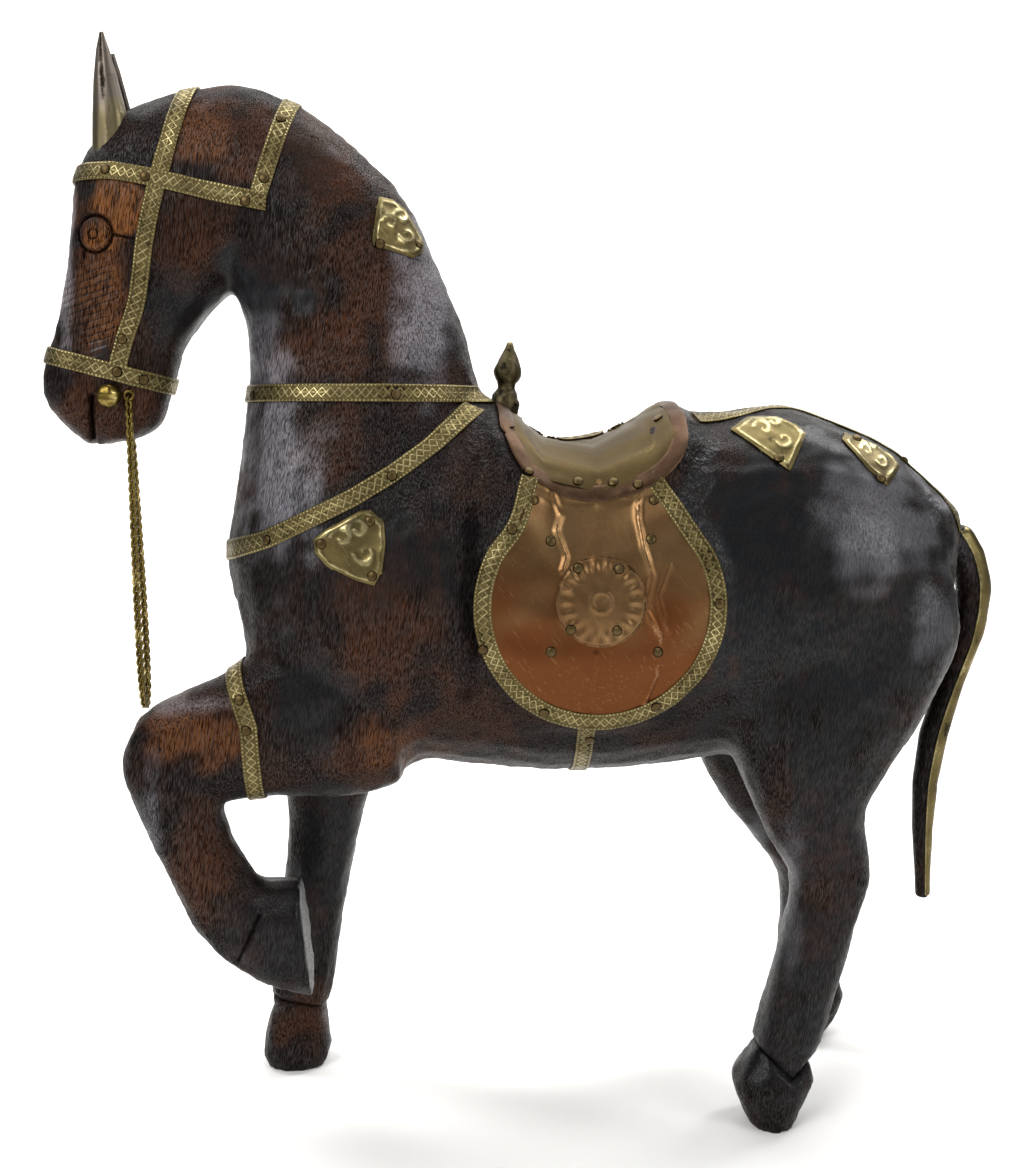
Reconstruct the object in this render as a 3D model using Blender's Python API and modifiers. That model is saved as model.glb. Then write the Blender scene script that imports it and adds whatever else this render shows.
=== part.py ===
"""A carved wooden horse with nailed sheet brass and copper fittings.

It stands on three hooves with its left foreleg raised. +Z is up, the horse faces -X and its left side is
towards -Y. The origin is on the floor, under the middle of its box. The figure is drawn in millimetres by
sections, and every place on it is scaled by HORSE_HEIGHT. Sheet, wire and strap sizes stay real sizes.
"""

import math

import bmesh
import bpy
from mathutils import Vector
from mathutils.bvhtree import BVHTree

# Driving dimensions, in metres
HORSE_HEIGHT = 0.3915
SHEET = 0.0007
CLEARANCE = 0.0003
STRAP_WIDTH = 0.0064
RIM_WIDTH = 0.0055
TRIM_WIDTH = 0.0062
CRUPPER_WIDTH = 0.0068
TAIL_STRIP_SHARE = 0.5
FLAP_RADIUS = 0.0455
DISC_RADIUS = 0.0163
ROSETTE_RADIUS = 0.0095
SADDLE_RISE = 0.003
PAD_RISE = 0.0015
PAD_MARGIN = 0.0034
EAR_SHEET = 0.0009
BOSS_RADIUS = 0.0049
BOSS_FLATNESS = 0.8
BIT_RING_RADIUS = 0.0016
BIT_RING_WIRE = 0.0010
BIT_RING_STANDOFF = 0.0004
CHAIN_DIAMETER = 0.0026
CHAIN_SAG = 0.0036
FINIAL_HEIGHT = 0.0245
FINIAL_RADIUS = 0.0055
EYE_RADIUS = 0.0058
EYE_GROOVE = 0.0008
MOUTH_SLOT = 0.0018
PAIR_GAP = 0.002

LEFT, RIGHT = -1, 1

# The figure's drawing: its height in drawn millimetres, and how finely it is carved
DRAWN_HEIGHT = 391.5
UNIT = HORSE_HEIGHT / DRAWN_HEIGHT
CARVING_GRAIN = 2.3
CARVING_SMOOTHING = 4
BODY_TRIANGLES = 2600

# Sections of the figure. A row holds the section's two ends as x and z in the side view, the y of its middle
# and its half width.
HEAD = (
    (-162.5, 258, -146, 260.5, 0, 10),
    (-172.8, 267, -137, 265, 0, 13.4),
    (-179.4, 277, -133, 274, 0, 14.8),
    (-178, 289.5, -130.2, 282.5, 0, 15.2),
    (-173.5, 302, -126.8, 294.5, 0, 15.8),
    (-169.5, 321, -120.4, 304, 0, 17.5),
    (-167, 338, -108, 318, 0, 20),
    (-165.5, 351, -98, 334, 0, 21),
    (-162.0, 363, -100, 352, 0, 19.5),
    (-152, 376, -105, 370, 0, 16),
    (-144, 382, -115, 383, 0, 10),
)
NECK = (
    (-150, 362, -145, 382.5, 0, 12),
    (-132, 345, -133.5, 387, 0, 17),
    (-120, 334, -118.5, 390.5, 0, 19.5),
    (-112, 324, -100, 391.5, 0, 21),
    (-107.5, 316.5, -78, 382.5, 0, 23),
    (-104.2, 308.5, -57, 366, 0, 25),
    (-102.3, 298, -41.5, 349.5, 0, 26.5),
    (-102, 287, -30.5, 325.5, 0, 28),
    (-103.2, 275, -21, 303, 0, 30.5),
    (-105.4, 258, -14, 277, 0, 35),
    (-108.2, 240, -2, 254, 0, 40),
    (-112, 218, 12, 236, 0, 44),
    (-110, 200, 22, 215, 0, 44),
)
TRUNK = (
    (-108, 213, -102, 172, 0, 22),
    (-99, 238, -92, 150, 0, 36),
    (-78, 262, -76, 135.5, 0, 43),
    (-48, 273, -50, 130, 0, 46.5),
    (-34, 276, -39, 136, 0, 47),
    (-16, 277.5, -22, 134.2, 0, 47.5),
    (-1, 269.5, 0, 132, 0, 48.5),
    (7, 262, 8, 131.3, 0, 48.8),
    (18, 259.5, 18, 131, 0, 49),
    (38, 263.5, 38, 131.4, 0, 49.5),
    (56.5, 275, 56, 132.8, 0, 49.5),
    (66, 272, 67, 134.4, 0, 49.5),
    (79, 271.2, 80, 136, 0, 50),
    (103, 273.6, 105, 135.8, 0, 51),
    (125, 266.3, 128, 135, 0, 50),
    (143, 258.6, 143, 146, 0, 44),
    (158.5, 246.5, 155.5, 168, 0, 34),
    (169, 237.2, 165.5, 184, 0, 23),
    (176, 232, 169, 205, 0, 9),
)
NEAR_HIND = (
    (84, 215, 160, 222, -22, 20),
    (74, 185, 168, 190, -24, 24),
    (76, 158, 155.5, 160, -26, 24),
    (80, 143, 144.5, 144, -28, 22),
    (83.5, 133, 136, 131, -30, 19.5),
    (88, 122, 130, 121, -32, 17),
    (93.5, 110, 130.5, 110, -34, 14.5),
    (102, 95, 132, 96, -36, 12.5),
    (100, 82, 128, 83, -37, 11.8),
    (96.5, 66, 123, 66, -38, 11.8),
    (92.5, 50, 118.5, 50, -38, 12.2),
    (88, 33, 113.5, 33, -38, 12.8),
    (87, 27, 109, 24, -38, 11.2),
    (80, 18, 111.5, 17.5, -38, 14.5),
    (82.5, 8, 106.5, 8, -38, 14),
    (89, -6, 100.5, -6, -38, 12),
)
FAR_HIND = (
    (84, 215, 160, 222, 22, 20),
    (74, 185, 168, 190, 24, 24),
    (76, 158, 162, 160, 26, 24),
    (78, 140, 154, 144, 28, 22),
    (80.5, 124.5, 147, 131, 30, 18.5),
    (90, 108, 142.5, 117, 32, 15.5),
    (101.5, 93.5, 142.5, 103, 34, 13),
    (112, 80, 144, 90, 34.5, 12),
    (116.5, 70, 143.5, 74, 35, 11.8),
    (117, 52, 143, 55, 35, 11.8),
    (116, 36, 144.5, 36, 35, 12.2),
    (116, 28, 143, 26, 36, 11.2),
    (112, 17, 146, 18.5, 37, 14),
    (113, 8, 142, 8, 38, 13.3),
    (116, -6, 131, -6, 38, 11.5),
)
FAR_FORE = (
    (-100, 165, -48, 160, 20, 20),
    (-95, 138, -54, 133, 23, 17.5),
    (-93, 110, -61, 112, 25, 14.5),
    (-94, 91, -66, 91, 25.5, 12.7),
    (-97.5, 62, -71.5, 62, 26, 11.8),
    (-101.5, 34, -75.5, 34, 26, 12.2),
    (-100.8, 26, -79, 22.5, 26, 10.4),
    (-104, 15, -77.5, 14, 26, 12.7),
    (-105.3, 5, -77.2, 5, 26, 13.2),
    (-101, -6, -82, -6, 26, 12),
)
RAISED_FORE = (
    (-56, 200, -45, 131.5, -20, 20),
    (-80, 192, -64, 127, -22, 20),
    (-98, 183, -87, 127.8, -24, 18),
    (-110, 175, -101, 127.5, -25.5, 15.5),
    (-124, 169, -110, 126.5, -26.5, 13.6),
    (-138.5, 162, -113.5, 126, -27, 13),
    (-146.5, 151, -113, 125.5, -27, 13),
    (-148.8, 140, -112.5, 123, -27, 13),
    (-145, 127, -111.5, 118.5, -27, 12.5),
    (-138.5, 111, -109, 112, -27, 12),
    (-130.5, 93, -105, 104.5, -27, 11.7),
    (-123.5, 78, -102.3, 99.5, -27, 11.7),
    (-116, 68, -100, 96.5, -27, 10.6),
    (-110.5, 64, -96.5, 95.5, -27, 12.5),
    (-95, 54.5, -90, 96, -27, 13.7),
    (-74, 49.5, -78, 96, -27, 14.2),
)
TAIL = (
    (166, 237, 173, 228.5, 0, 5),
    (170, 221, 181, 225.5, 0, 6.2),
    (174.8, 212, 186.6, 216, 0, 6.6),
    (177, 200, 190.2, 202, 0, 6.6),
    (175.4, 180, 187.9, 184, 0, 6.2),
    (169.5, 160, 180, 163, 0, 5.8),
    (163.6, 142, 174.6, 143, 0, 5.4),
    (161.3, 122, 170.8, 122, 0, 4.8),
    (161.8, 102, 169.4, 102, 0, 4.2),
    (163.2, 86, 169, 86, 0, 3.6),
    (164, 73.5, 169.2, 73, 0, 3),
)
TAIL_POWER = 2.6
CHAIN_POINTS = 17

# Limits of the stretch of wood that each group of fittings lies on, as x or z
HEAD_REAR, HEAD_LOW = -70, 262
MUZZLE_REAR = -116
NECK_REAR, NECK_LOW = 30, 195
COLLAR_FRONT, COLLAR_REAR = -118, -15.5
BREAST_REAR = -18
BACK_FRONT, BACK_REAR, BACK_LOW = -25, 80, 125
SADDLE_LOW = 225
LEG_BAND_REAR, LEG_BAND_TOP, LEG_BAND_LOW, LEG_BAND_INNER = -85, 178, 120, 14
FLAP_INNER = 12
CROUP_PLAQUE_INNER = 15

# Outlines on the horse, as drawn places in the side view, unless they say top view
BROWBAND_LINE = ((-190, 357.5), (-148, 357.2), (-134.5, 354.8), (-92.3, 345.8))
CROWN_LINE = ((-132.5, 350), (-122, 388), (-119, 400))
CHEEK_LINE = ((-131.5, 354), (-136.5, 332.7), (-140.5, 311.6), (-145.8, 297.2), (-150, 282))
POLL_LINE = ((-98.5, 338), (-85, 382), (-78, 405))
NOSEBAND_LINE = ((-190, 295.4), (-161, 288.3), (-115, 276.4))
COLLAR_LINE = ((-125, 277.7), (0, 277.3))
BREAST_LINE = (
    (-4, 285), (-17, 273.5), (-34.2, 258.1), (-48, 248.4), (-61.7, 240.2), (-75.5, 233.4), (-92.8, 225.1),
    (-125, 214)
)
NECK_PLAQUE = (
    (-54.5, 331), (-39.8, 327.1), (-36.5, 330), (-36.1, 333.9), (-42.9, 345.6), (-47.3, 348.6),
    (-52.5, 349.2), (-54.7, 334)
)
BREAST_PLAQUE = (
    (-71.5, 215.9), (-60.5, 210.6), (-54.4, 208.9), (-51.5, 214.7), (-50.3, 223.8), (-50.8, 231.3),
    (-55.5, 235.7), (-58.8, 235.7), (-71.3, 228.9), (-76, 225.3), (-75.4, 220.7)
)
FRONT_CROUP_PLAQUE = (
    (78, 264.2), (88, 256), (96.7, 249), (105.2, 262.4), (103.2, 265.5), (97, 268.9), (86.5, 268.9)
)
REAR_CROUP_PLAQUE = (
    (120, 260.5), (127.5, 249.5), (134.3, 243.4), (143.6, 250.5), (141.6, 253.8), (135, 258.2), (122.7, 263)
)
SEAT_OUTLINE = (
    (-7.5, 300), (-6, 265), (0.5, 251.2), (10, 244.4), (18, 241.9), (28, 241.4), (41, 244.8), (52, 251.8),
    (57.2, 260), (58, 268), (55.5, 300)
)
SADDLE_MARGIN = (
    (-15, 300), (-14, 268), (-12, 254), (-4, 245.5), (5, 240.6), (15, 238.4), (29, 237.9), (44, 241.2),
    (56.5, 248), (64, 257), (65.5, 266), (62, 300)
)
FLAP_CENTRE = (26.5, 200.5)
FLAP_TOP_LEFT = (1.5, 247)
FLAP_TOP_RIGHT = (45.5, 248)
FLAP_ARC = (135, 402)
FLAP_POINTS = 15
DISC_CENTRE = (26.5, 203)
GIRTH_LINE = ((27.4, 175), (22.6, 141), (22.6, 110))
LEG_BAND_LINE = ((-108.5, 186), (-105.6, 172), (-100.6, 157.5), (-98.6, 120))
CRUPPER_LINE = ((62, -19), (88, -11), (104, -5.5), (124, -8.5), (150, -9.5), (185, -13.5))
CRUPPER_FRONT = 69.5
CRUPPER_LOW = 219
ROSETTE_CENTRE = (24.5, 0)
BOSS_PLACE = (-152.3, 276.9)
BIT_RING_TURN = {LEFT: 0.0, RIGHT: math.radians(-75)}
EYE_PLACE = (-155.1, 335)
MOUTH_LINE = ((-158.6, 276.5), (-160.8, 250))
FINIAL_PLACE = (-5.1, 0)
FINIAL_LEAN = math.radians(5)
FINIAL_PROFILE = (
    (0.0, 1.0), (0.2, 0.93), (0.42, 0.8), (0.86, 0.62), (0.98, 0.5), (0.82, 0.36), (0.6, 0.3), (0.62, 0.22),
    (0.98, 0.14), (1.0, 0.04), (0.98, -0.14), (0.0, -0.14)
)
RAISED_SOLE = ((-84.2, 96.5), (-79.4, 49))
SOLE_CUT = (16, 36)
ACROSS = 60
EAR_FRONT = ((-156.4, 362), (-155.8, 378), (-155, 391), (-153.8, 402), (-152.4, 407.8))
EAR_REAR = ((-143, 362), (-144, 378), (-147.2, 391), (-149.8, 401), (-151.8, 407.6))
EAR_FOLD = (5, 5.2, 4, 2, 0.6)
EAR_MIDDLE = 8.5
EAR_FACETS = 5
EAR_DROP = {LEFT: 0, RIGHT: 3}

BRASS = ((0.44, 0.33, 0.12, 1), 0.38, 1.0)
COPPER = ((0.42, 0.17, 0.08, 1), 0.36, 1.0)
BRONZE = ((0.10, 0.08, 0.04, 1), 0.45, 1.0)
WOOD = ((0.035, 0.018, 0.012, 1), 0.42, 0.0)

SIDE_VIEW = (Vector((1, 0, 0)), Vector((0, 0, 1)))
TOP_VIEW = (Vector((1, 0, 0)), Vector((0, 1, 0)))
SIDES = ((LEFT, "left"), (RIGHT, "right"))
PLANE_TOUCH = 1e-7
SAME_POINT = 1e-5
STRAP_FLATTENING = math.radians(4)
CHEEK_FLATTENING = math.radians(3)
PANEL_FLATTENING = math.radians(1.5)
SHARP_EDGE = math.radians(40)


def clear_scene():
    for old in list(bpy.data.objects):
        bpy.data.objects.remove(old)


def collection(name):
    made = bpy.data.collections.new(name)
    bpy.context.scene.collection.children.link(made)
    return made


def finish(name, colour, roughness, metallic):
    material = bpy.data.materials.new(name)
    material.use_nodes = True
    shader = material.node_tree.nodes["Principled BSDF"]
    shader.inputs["Base Color"].default_value = colour
    shader.inputs["Roughness"].default_value = roughness
    shader.inputs["Metallic"].default_value = metallic
    return material


clear_scene()
HORSE = collection("carved_wooden_horse")
CUTTERS = collection("cutters")
FINISHES = {
    "wood": finish("dark_carved_wood", *WOOD),
    "brass": finish("aged_sheet_brass", *BRASS),
    "copper": finish("aged_sheet_copper", *COPPER),
    "bronze": finish("dark_bronze", *BRONZE),
}
CENTRE = bpy.data.objects.new("floor_centre", None)
HORSE.objects.link(CENTRE)


def drawn(place):
    """A drawn side view place, or any drawn vector, at its real size."""
    return Vector(place) * UNIT


def object_from(mesh, name, metal="wood", group=HORSE):
    """A named object from a bmesh, which it frees."""
    data = bpy.data.meshes.new(name)
    mesh.to_mesh(data)
    mesh.free()
    made = bpy.data.objects.new(name, data)
    made.data.materials.append(FINISHES[metal])
    group.objects.link(made)
    made.parent = CENTRE
    return made


def hide_cutter(made):
    made.hide_render = True
    made.display_type = "WIRE"


def settled(made):
    """Replaces an object's mesh by the one that its modifiers make of it."""
    bpy.context.view_layer.update()
    graph = bpy.context.evaluated_depsgraph_get()
    data = bpy.data.meshes.new_from_object(made.evaluated_get(graph))
    made.modifiers.clear()
    made.data = data
    return made


def as_bmesh(made):
    mesh = bmesh.new()
    mesh.from_mesh(made.data)
    return mesh


def smooth_rows(rows, steps):
    """The rows with more between them, on a Catmull-Rom curve through every column."""
    found = []
    last = len(rows) - 1
    for i in range(last):
        four = (rows[max(i - 1, 0)], rows[i], rows[i + 1], rows[min(i + 2, last)])
        for k in range(steps):
            t = k / steps
            found.append(
                [
                    b + 0.5 * t * (c - a + t * (2 * a - 5 * b + 4 * c - d + t * (3 * (b - c) + d - a)))
                    for a, b, c, d in zip(*four)
                ]
            )
    found.append(list(rows[-1]))
    return found


def signed_power(value, power):
    return math.copysign(abs(value) ** (2 / power), value)


def loft(mesh, rows, power=2.3, taper=0.0, sides=28, steps=4):
    """Adds a closed tube through the rows' sections. A positive taper makes the first end of each wider."""
    rings = []
    for x1, z1, x2, z2, y, half in smooth_rows(rows, steps):
        middle = Vector(((x1 + x2) / 2, y, (z1 + z2) / 2))
        arm = Vector(((x1 - x2) / 2, 0, (z1 - z2) / 2))
        ring = []
        for i in range(sides):
            angle = math.tau * i / sides
            reach = signed_power(math.cos(angle), power)
            out = half * signed_power(math.sin(angle), power) * (1 + taper * reach)
            ring.append(mesh.verts.new(drawn(middle + arm * reach + Vector((0, out, 0)))))
        rings.append(ring)
    for near, far in zip(rings, rings[1:]):
        for i in range(sides):
            j = (i + 1) % sides
            mesh.faces.new((near[i], near[j], far[j], far[i]))
    mesh.faces.new(rings[0][::-1])
    mesh.faces.new(rings[-1])


def inside_outline(outline, u, v):
    """How far a drawn place is inside a convex outline that runs anticlockwise."""
    depth = math.inf
    for (u1, v1), (u2, v2) in zip(outline, outline[1:] + outline[:1]):
        length = math.hypot(u2 - u1, v2 - v1)
        depth = min(depth, ((u2 - u1) * (v - v1) - (v2 - v1) * (u - u1)) / length)
    return depth


def raise_area(mesh, outline, rise, grow=0.0, ramp=1.6, full_out=22):
    """Lifts the flanks inside a drawn outline moved out by grow, fading out towards the ridge of the back."""
    for vert in mesh.verts:
        x, y, z = vert.co / UNIT
        depth = min(max((inside_outline(outline, x, z) + grow / UNIT) / ramp, 0), 1)
        share = min(abs(y) / full_out, 1)
        vert.co.y += math.copysign(rise * depth * share, y)


def flap_outline():
    """The middle of a flap's trim: an arc below and straight sides up to the seat."""
    radius = (FLAP_RADIUS - TRIM_WIDTH / 2) / UNIT
    start, end = map(math.radians, FLAP_ARC)
    arc = []
    for i in range(FLAP_POINTS):
        angle = start + (end - start) * i / (FLAP_POINTS - 1)
        arc.append((FLAP_CENTRE[0] + radius * math.cos(angle), FLAP_CENTRE[1] + radius * math.sin(angle)))
    return tuple(arc) + (FLAP_TOP_RIGHT, FLAP_TOP_LEFT)


def round_outline(centre, radius, points):
    """A circle round a drawn place, as an outline."""
    turns = [math.tau * i / points for i in range(points)]
    reach = radius / UNIT
    return tuple((centre[0] + reach * math.cos(turn), centre[1] + reach * math.sin(turn)) for turn in turns)


def box(name, centre, size, turn=0.0):
    """A cutter box, turned about Y."""
    bpy.ops.mesh.primitive_cube_add(size=1, location=centre, rotation=(0, turn, 0))
    made = bpy.context.object
    made.name = name
    made.scale = size
    return as_cutter(made)


def as_cutter(made):
    for group in list(made.users_collection):
        group.objects.unlink(made)
    CUTTERS.objects.link(made)
    hide_cutter(made)
    return made


def cut(made, cutter, name):
    modifier = made.modifiers.new(name, "BOOLEAN")
    modifier.operation = "DIFFERENCE"
    modifier.object = cutter
    modifier.solver = "EXACT"


def surface_at(tree, place, side):
    """The point and normal of the wood at a side view place, met from one side."""
    x, z = drawn(place)
    hit, normal, _, _ = tree.ray_cast(Vector((x, side, z)), Vector((0, -side, 0)))
    return hit, normal


def carve_horse():
    """The whole figure as one mesh: lofts fused by a voxel remesh, smoothed, then thinned out."""
    mesh = bmesh.new()
    loft(mesh, HEAD, power=2.6)
    loft(mesh, NECK, power=2.2, taper=0.12)
    loft(mesh, TRUNK, power=2.25)
    loft(mesh, NEAR_HIND, power=2.6)
    loft(mesh, FAR_HIND, power=2.6)
    loft(mesh, FAR_FORE, power=2.8)
    loft(mesh, RAISED_FORE, power=2.7)
    bmesh.ops.recalc_face_normals(mesh, faces=mesh.faces)
    horse = object_from(mesh, "wooden_horse")
    remesh = horse.modifiers.new("fuse", "REMESH")
    remesh.mode = "VOXEL"
    remesh.voxel_size = CARVING_GRAIN * UNIT
    smooth = horse.modifiers.new("smooth", "SMOOTH")
    smooth.factor = 0.5
    smooth.iterations = CARVING_SMOOTHING
    settled(horse)
    mesh = as_bmesh(horse)
    raise_area(mesh, flap_outline(), PAD_RISE, TRIM_WIDTH / 2 + PAD_MARGIN)
    raise_area(mesh, SADDLE_MARGIN, SADDLE_RISE)
    mesh.to_mesh(horse.data)
    mesh.free()
    thin = horse.modifiers.new("thin_out", "DECIMATE")
    thin.ratio = BODY_TRIANGLES / (2 * len(horse.data.polygons))
    return settled(horse)


def stand_on_floor(horse):
    """Cuts the soles flat at the floor."""
    mesh = as_bmesh(horse)
    keep_side(mesh, Vector((0, 0, 0)), Vector((0, 0, -1)))
    rims = [edge for edge in mesh.edges if edge.is_boundary]
    bmesh.ops.holes_fill(mesh, edges=rims, sides=0)
    mesh.to_mesh(horse.data)
    mesh.free()


def cut_details(horse):
    """Eye rings, the saw cut of the mouth and the flat sole of the raised hoof."""
    tree = BVHTree.FromObject(horse, bpy.context.evaluated_depsgraph_get())
    for side, word in SIDES:
        place, normal = surface_at(tree, EYE_PLACE, side)
        bpy.ops.mesh.primitive_torus_add(
            major_radius=EYE_RADIUS, minor_radius=EYE_GROOVE, major_segments=18, minor_segments=6,
            location=place,
        )
        ring = bpy.context.object
        ring.name = f"eye_groove_{word}"
        ring.rotation_mode = "QUATERNION"
        ring.rotation_quaternion = normal.to_track_quat("Z", "Y")
        cut(horse, as_cutter(ring), ring.name)
    top, low = (drawn(place) for place in MOUTH_LINE)
    middle = (top + low) / 2
    lean = math.atan2(low.x - top.x, top.y - low.y)
    slot = box("mouth_slot", (middle.x, 0, middle.y), (MOUTH_SLOT, ACROSS * UNIT, (top - low).length), lean)
    cut(horse, slot, slot.name)
    top, low = (drawn(place) for place in RAISED_SOLE)
    middle = (top + low) / 2
    lean = math.atan2(top.x - low.x, top.y - low.y)
    depth, width = drawn(SOLE_CUT)
    out = Vector((math.cos(lean), -math.sin(lean))) * depth / 2
    place = (middle.x + out.x, RAISED_FORE[-1][4] * UNIT, middle.y + out.y)
    sole = box("raised_sole", place, (depth, width, (top - low).length), lean)
    cut(horse, sole, sole.name)
    return settled(horse)


def keep_side(mesh, place, normal):
    """Cuts a mesh at a plane and keeps the side that the normal points away from."""
    bmesh.ops.bisect_plane(
        mesh,
        geom=mesh.verts[:] + mesh.edges[:] + mesh.faces[:],
        dist=PLANE_TOUCH,
        plane_co=place,
        plane_no=normal,
        clear_outer=True,
    )


def in_space(view, pair):
    return view[0] * pair[0] + view[1] * pair[1]


def keep_outline(mesh, outline, view=SIDE_VIEW, grow=0.0):
    """Keeps what lies inside a convex outline that runs anticlockwise, moved out by grow."""
    for start, end in zip(outline, outline[1:] + outline[:1]):
        along = (Vector(end) - Vector(start)).normalized()
        out = Vector((along.y, -along.x))
        keep_side(mesh, in_space(view, drawn(start) + out * grow), in_space(view, out))


def keep_band(body, line, width, view=SIDE_VIEW, closed=False):
    """The part of the surface within a band along a drawn line, mitred where the line turns."""
    points = [Vector(place) for place in line]
    whole = bmesh.new()
    count = len(points)
    for i in range(count if closed else count - 1):
        start, end = points[i], points[(i + 1) % count]
        along = (end - start).normalized()
        before = points[i - 1] if closed or i > 0 else start - along
        after = points[(i + 2) % count] if closed or i + 2 < count else end + along
        across = Vector((along.y, -along.x))
        into = ((start - before).normalized() + along).normalized()
        onto = ((after - end).normalized() + along).normalized()
        piece = body.copy()
        for edge in (across, -across):
            keep_side(piece, in_space(view, drawn(start) + edge * width / 2), in_space(view, edge))
        keep_side(piece, in_space(view, drawn(start)), in_space(view, -into))
        keep_side(piece, in_space(view, drawn(end)), in_space(view, onto))
        data = bpy.data.meshes.new("band_piece")
        piece.to_mesh(data)
        piece.free()
        whole.from_mesh(data)
        bpy.data.meshes.remove(data)
    bmesh.ops.remove_doubles(whole, verts=whole.verts, dist=SAME_POINT)
    return whole


def keep_near(mesh, side, middle=0.0):
    """Keeps one side of the horse's middle plane."""
    keep_side(mesh, Vector((0, side * middle, 0)), Vector((0, -side, 0)))


def keep_below(mesh, height):
    keep_side(mesh, Vector((0, 0, height)), Vector((0, 0, 1)))


def keep_above(mesh, height):
    keep_side(mesh, Vector((0, 0, height)), Vector((0, 0, -1)))


def keep_before(mesh, x):
    keep_side(mesh, Vector((x, 0, 0)), Vector((1, 0, 0)))


def keep_behind(mesh, x):
    keep_side(mesh, Vector((x, 0, 0)), Vector((-1, 0, 0)))


def keep_off_line(mesh, line, width, side):
    """Keeps the side of a strap's line that is above it, or below it with side -1, clear of its edge."""
    start, end = Vector(line[0]), Vector(line[1])
    along = (end - start).normalized()
    up = Vector((-along.y, along.x)) * side
    edge = drawn(start) + up * (width / 2 + 2 * CLEARANCE)
    keep_side(mesh, in_space(SIDE_VIEW, edge), in_space(SIDE_VIEW, -up))


def keep_largest(mesh):
    """Drops every loose scrap of a patch but the largest."""
    left = set(mesh.faces)
    best, best_area = set(), 0.0
    while left:
        island, queue = set(), [left.pop()]
        while queue:
            face = queue.pop()
            island.add(face)
            for edge in face.edges:
                for other in edge.link_faces:
                    if other in left:
                        left.remove(other)
                        queue.append(other)
        area = sum(face.calc_area() for face in island)
        if area > best_area:
            best, best_area = island, area
    scraps = [face for face in mesh.faces if face not in best]
    bmesh.ops.delete(mesh, geom=scraps, context="FACES")


def nail_on(patch, name, metal="brass", level=0, flattening=STRAP_FLATTENING):
    """A sheet of metal on a patch of the wood, or on the sheets below it at a higher level."""
    keep_largest(patch)
    bmesh.ops.dissolve_limit(patch, angle_limit=flattening, verts=patch.verts, edges=patch.edges)
    bmesh.ops.triangulate(patch, faces=patch.faces)
    patch.normal_update()
    lift = CLEARANCE + level * (SHEET + CLEARANCE)
    moves = [vert.normal * lift for vert in patch.verts]
    for vert, move in zip(patch.verts, moves):
        vert.co += move
    made = object_from(patch, name, metal)
    solidify = made.modifiers.new("sheet", "SOLIDIFY")
    solidify.thickness = SHEET
    solidify.offset = 1
    return made


def bridle(body):
    head = body.copy()
    keep_before(head, HEAD_REAR * UNIT)
    keep_above(head, HEAD_LOW * UNIT)
    browband = keep_band(head, BROWBAND_LINE, STRAP_WIDTH)
    nail_on(browband, "browband")
    crown = keep_band(head, CROWN_LINE, STRAP_WIDTH)
    keep_off_line(crown, BROWBAND_LINE[2:], STRAP_WIDTH, 1)
    nail_on(crown, "crown_strap")
    poll = keep_band(head, POLL_LINE, STRAP_WIDTH)
    keep_off_line(poll, BROWBAND_LINE[2:], STRAP_WIDTH, 1)
    nail_on(poll, "poll_strap")
    muzzle = head.copy()
    keep_before(muzzle, MUZZLE_REAR * UNIT)
    nail_on(keep_band(muzzle, NOSEBAND_LINE, STRAP_WIDTH), "noseband")
    muzzle.free()
    for side, word in SIDES:
        half = head.copy()
        keep_near(half, side, PAIR_GAP)
        cheek = keep_band(half, CHEEK_LINE, STRAP_WIDTH)
        keep_off_line(cheek, BROWBAND_LINE[2:], STRAP_WIDTH, -1)
        keep_off_line(cheek, NOSEBAND_LINE[1:], STRAP_WIDTH, 1)
        nail_on(cheek, f"cheek_strap_{word}", flattening=CHEEK_FLATTENING)
        half.free()
    head.free()


def neck_fittings(body):
    neck = body.copy()
    keep_before(neck, NECK_REAR * UNIT)
    keep_above(neck, NECK_LOW * UNIT)
    collar_area = neck.copy()
    keep_behind(collar_area, COLLAR_FRONT * UNIT)
    keep_before(collar_area, COLLAR_REAR * UNIT)
    nail_on(keep_band(collar_area, COLLAR_LINE, STRAP_WIDTH), "neck_collar")
    collar_area.free()
    breast = keep_band(neck, BREAST_LINE, STRAP_WIDTH)
    keep_before(breast, BREAST_REAR * UNIT)
    keep_off_line(breast, COLLAR_LINE, STRAP_WIDTH, -1)
    nail_on(breast, "breast_strap")
    for side, word in SIDES:
        half = neck.copy()
        keep_near(half, side, PAIR_GAP)
        for outline, name in ((NECK_PLAQUE, "neck_plaque"), (BREAST_PLAQUE, "breast_plaque")):
            plaque = half.copy()
            keep_outline(plaque, outline)
            nail_on(plaque, f"{name}_{word}")
        half.free()
    neck.free()


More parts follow.
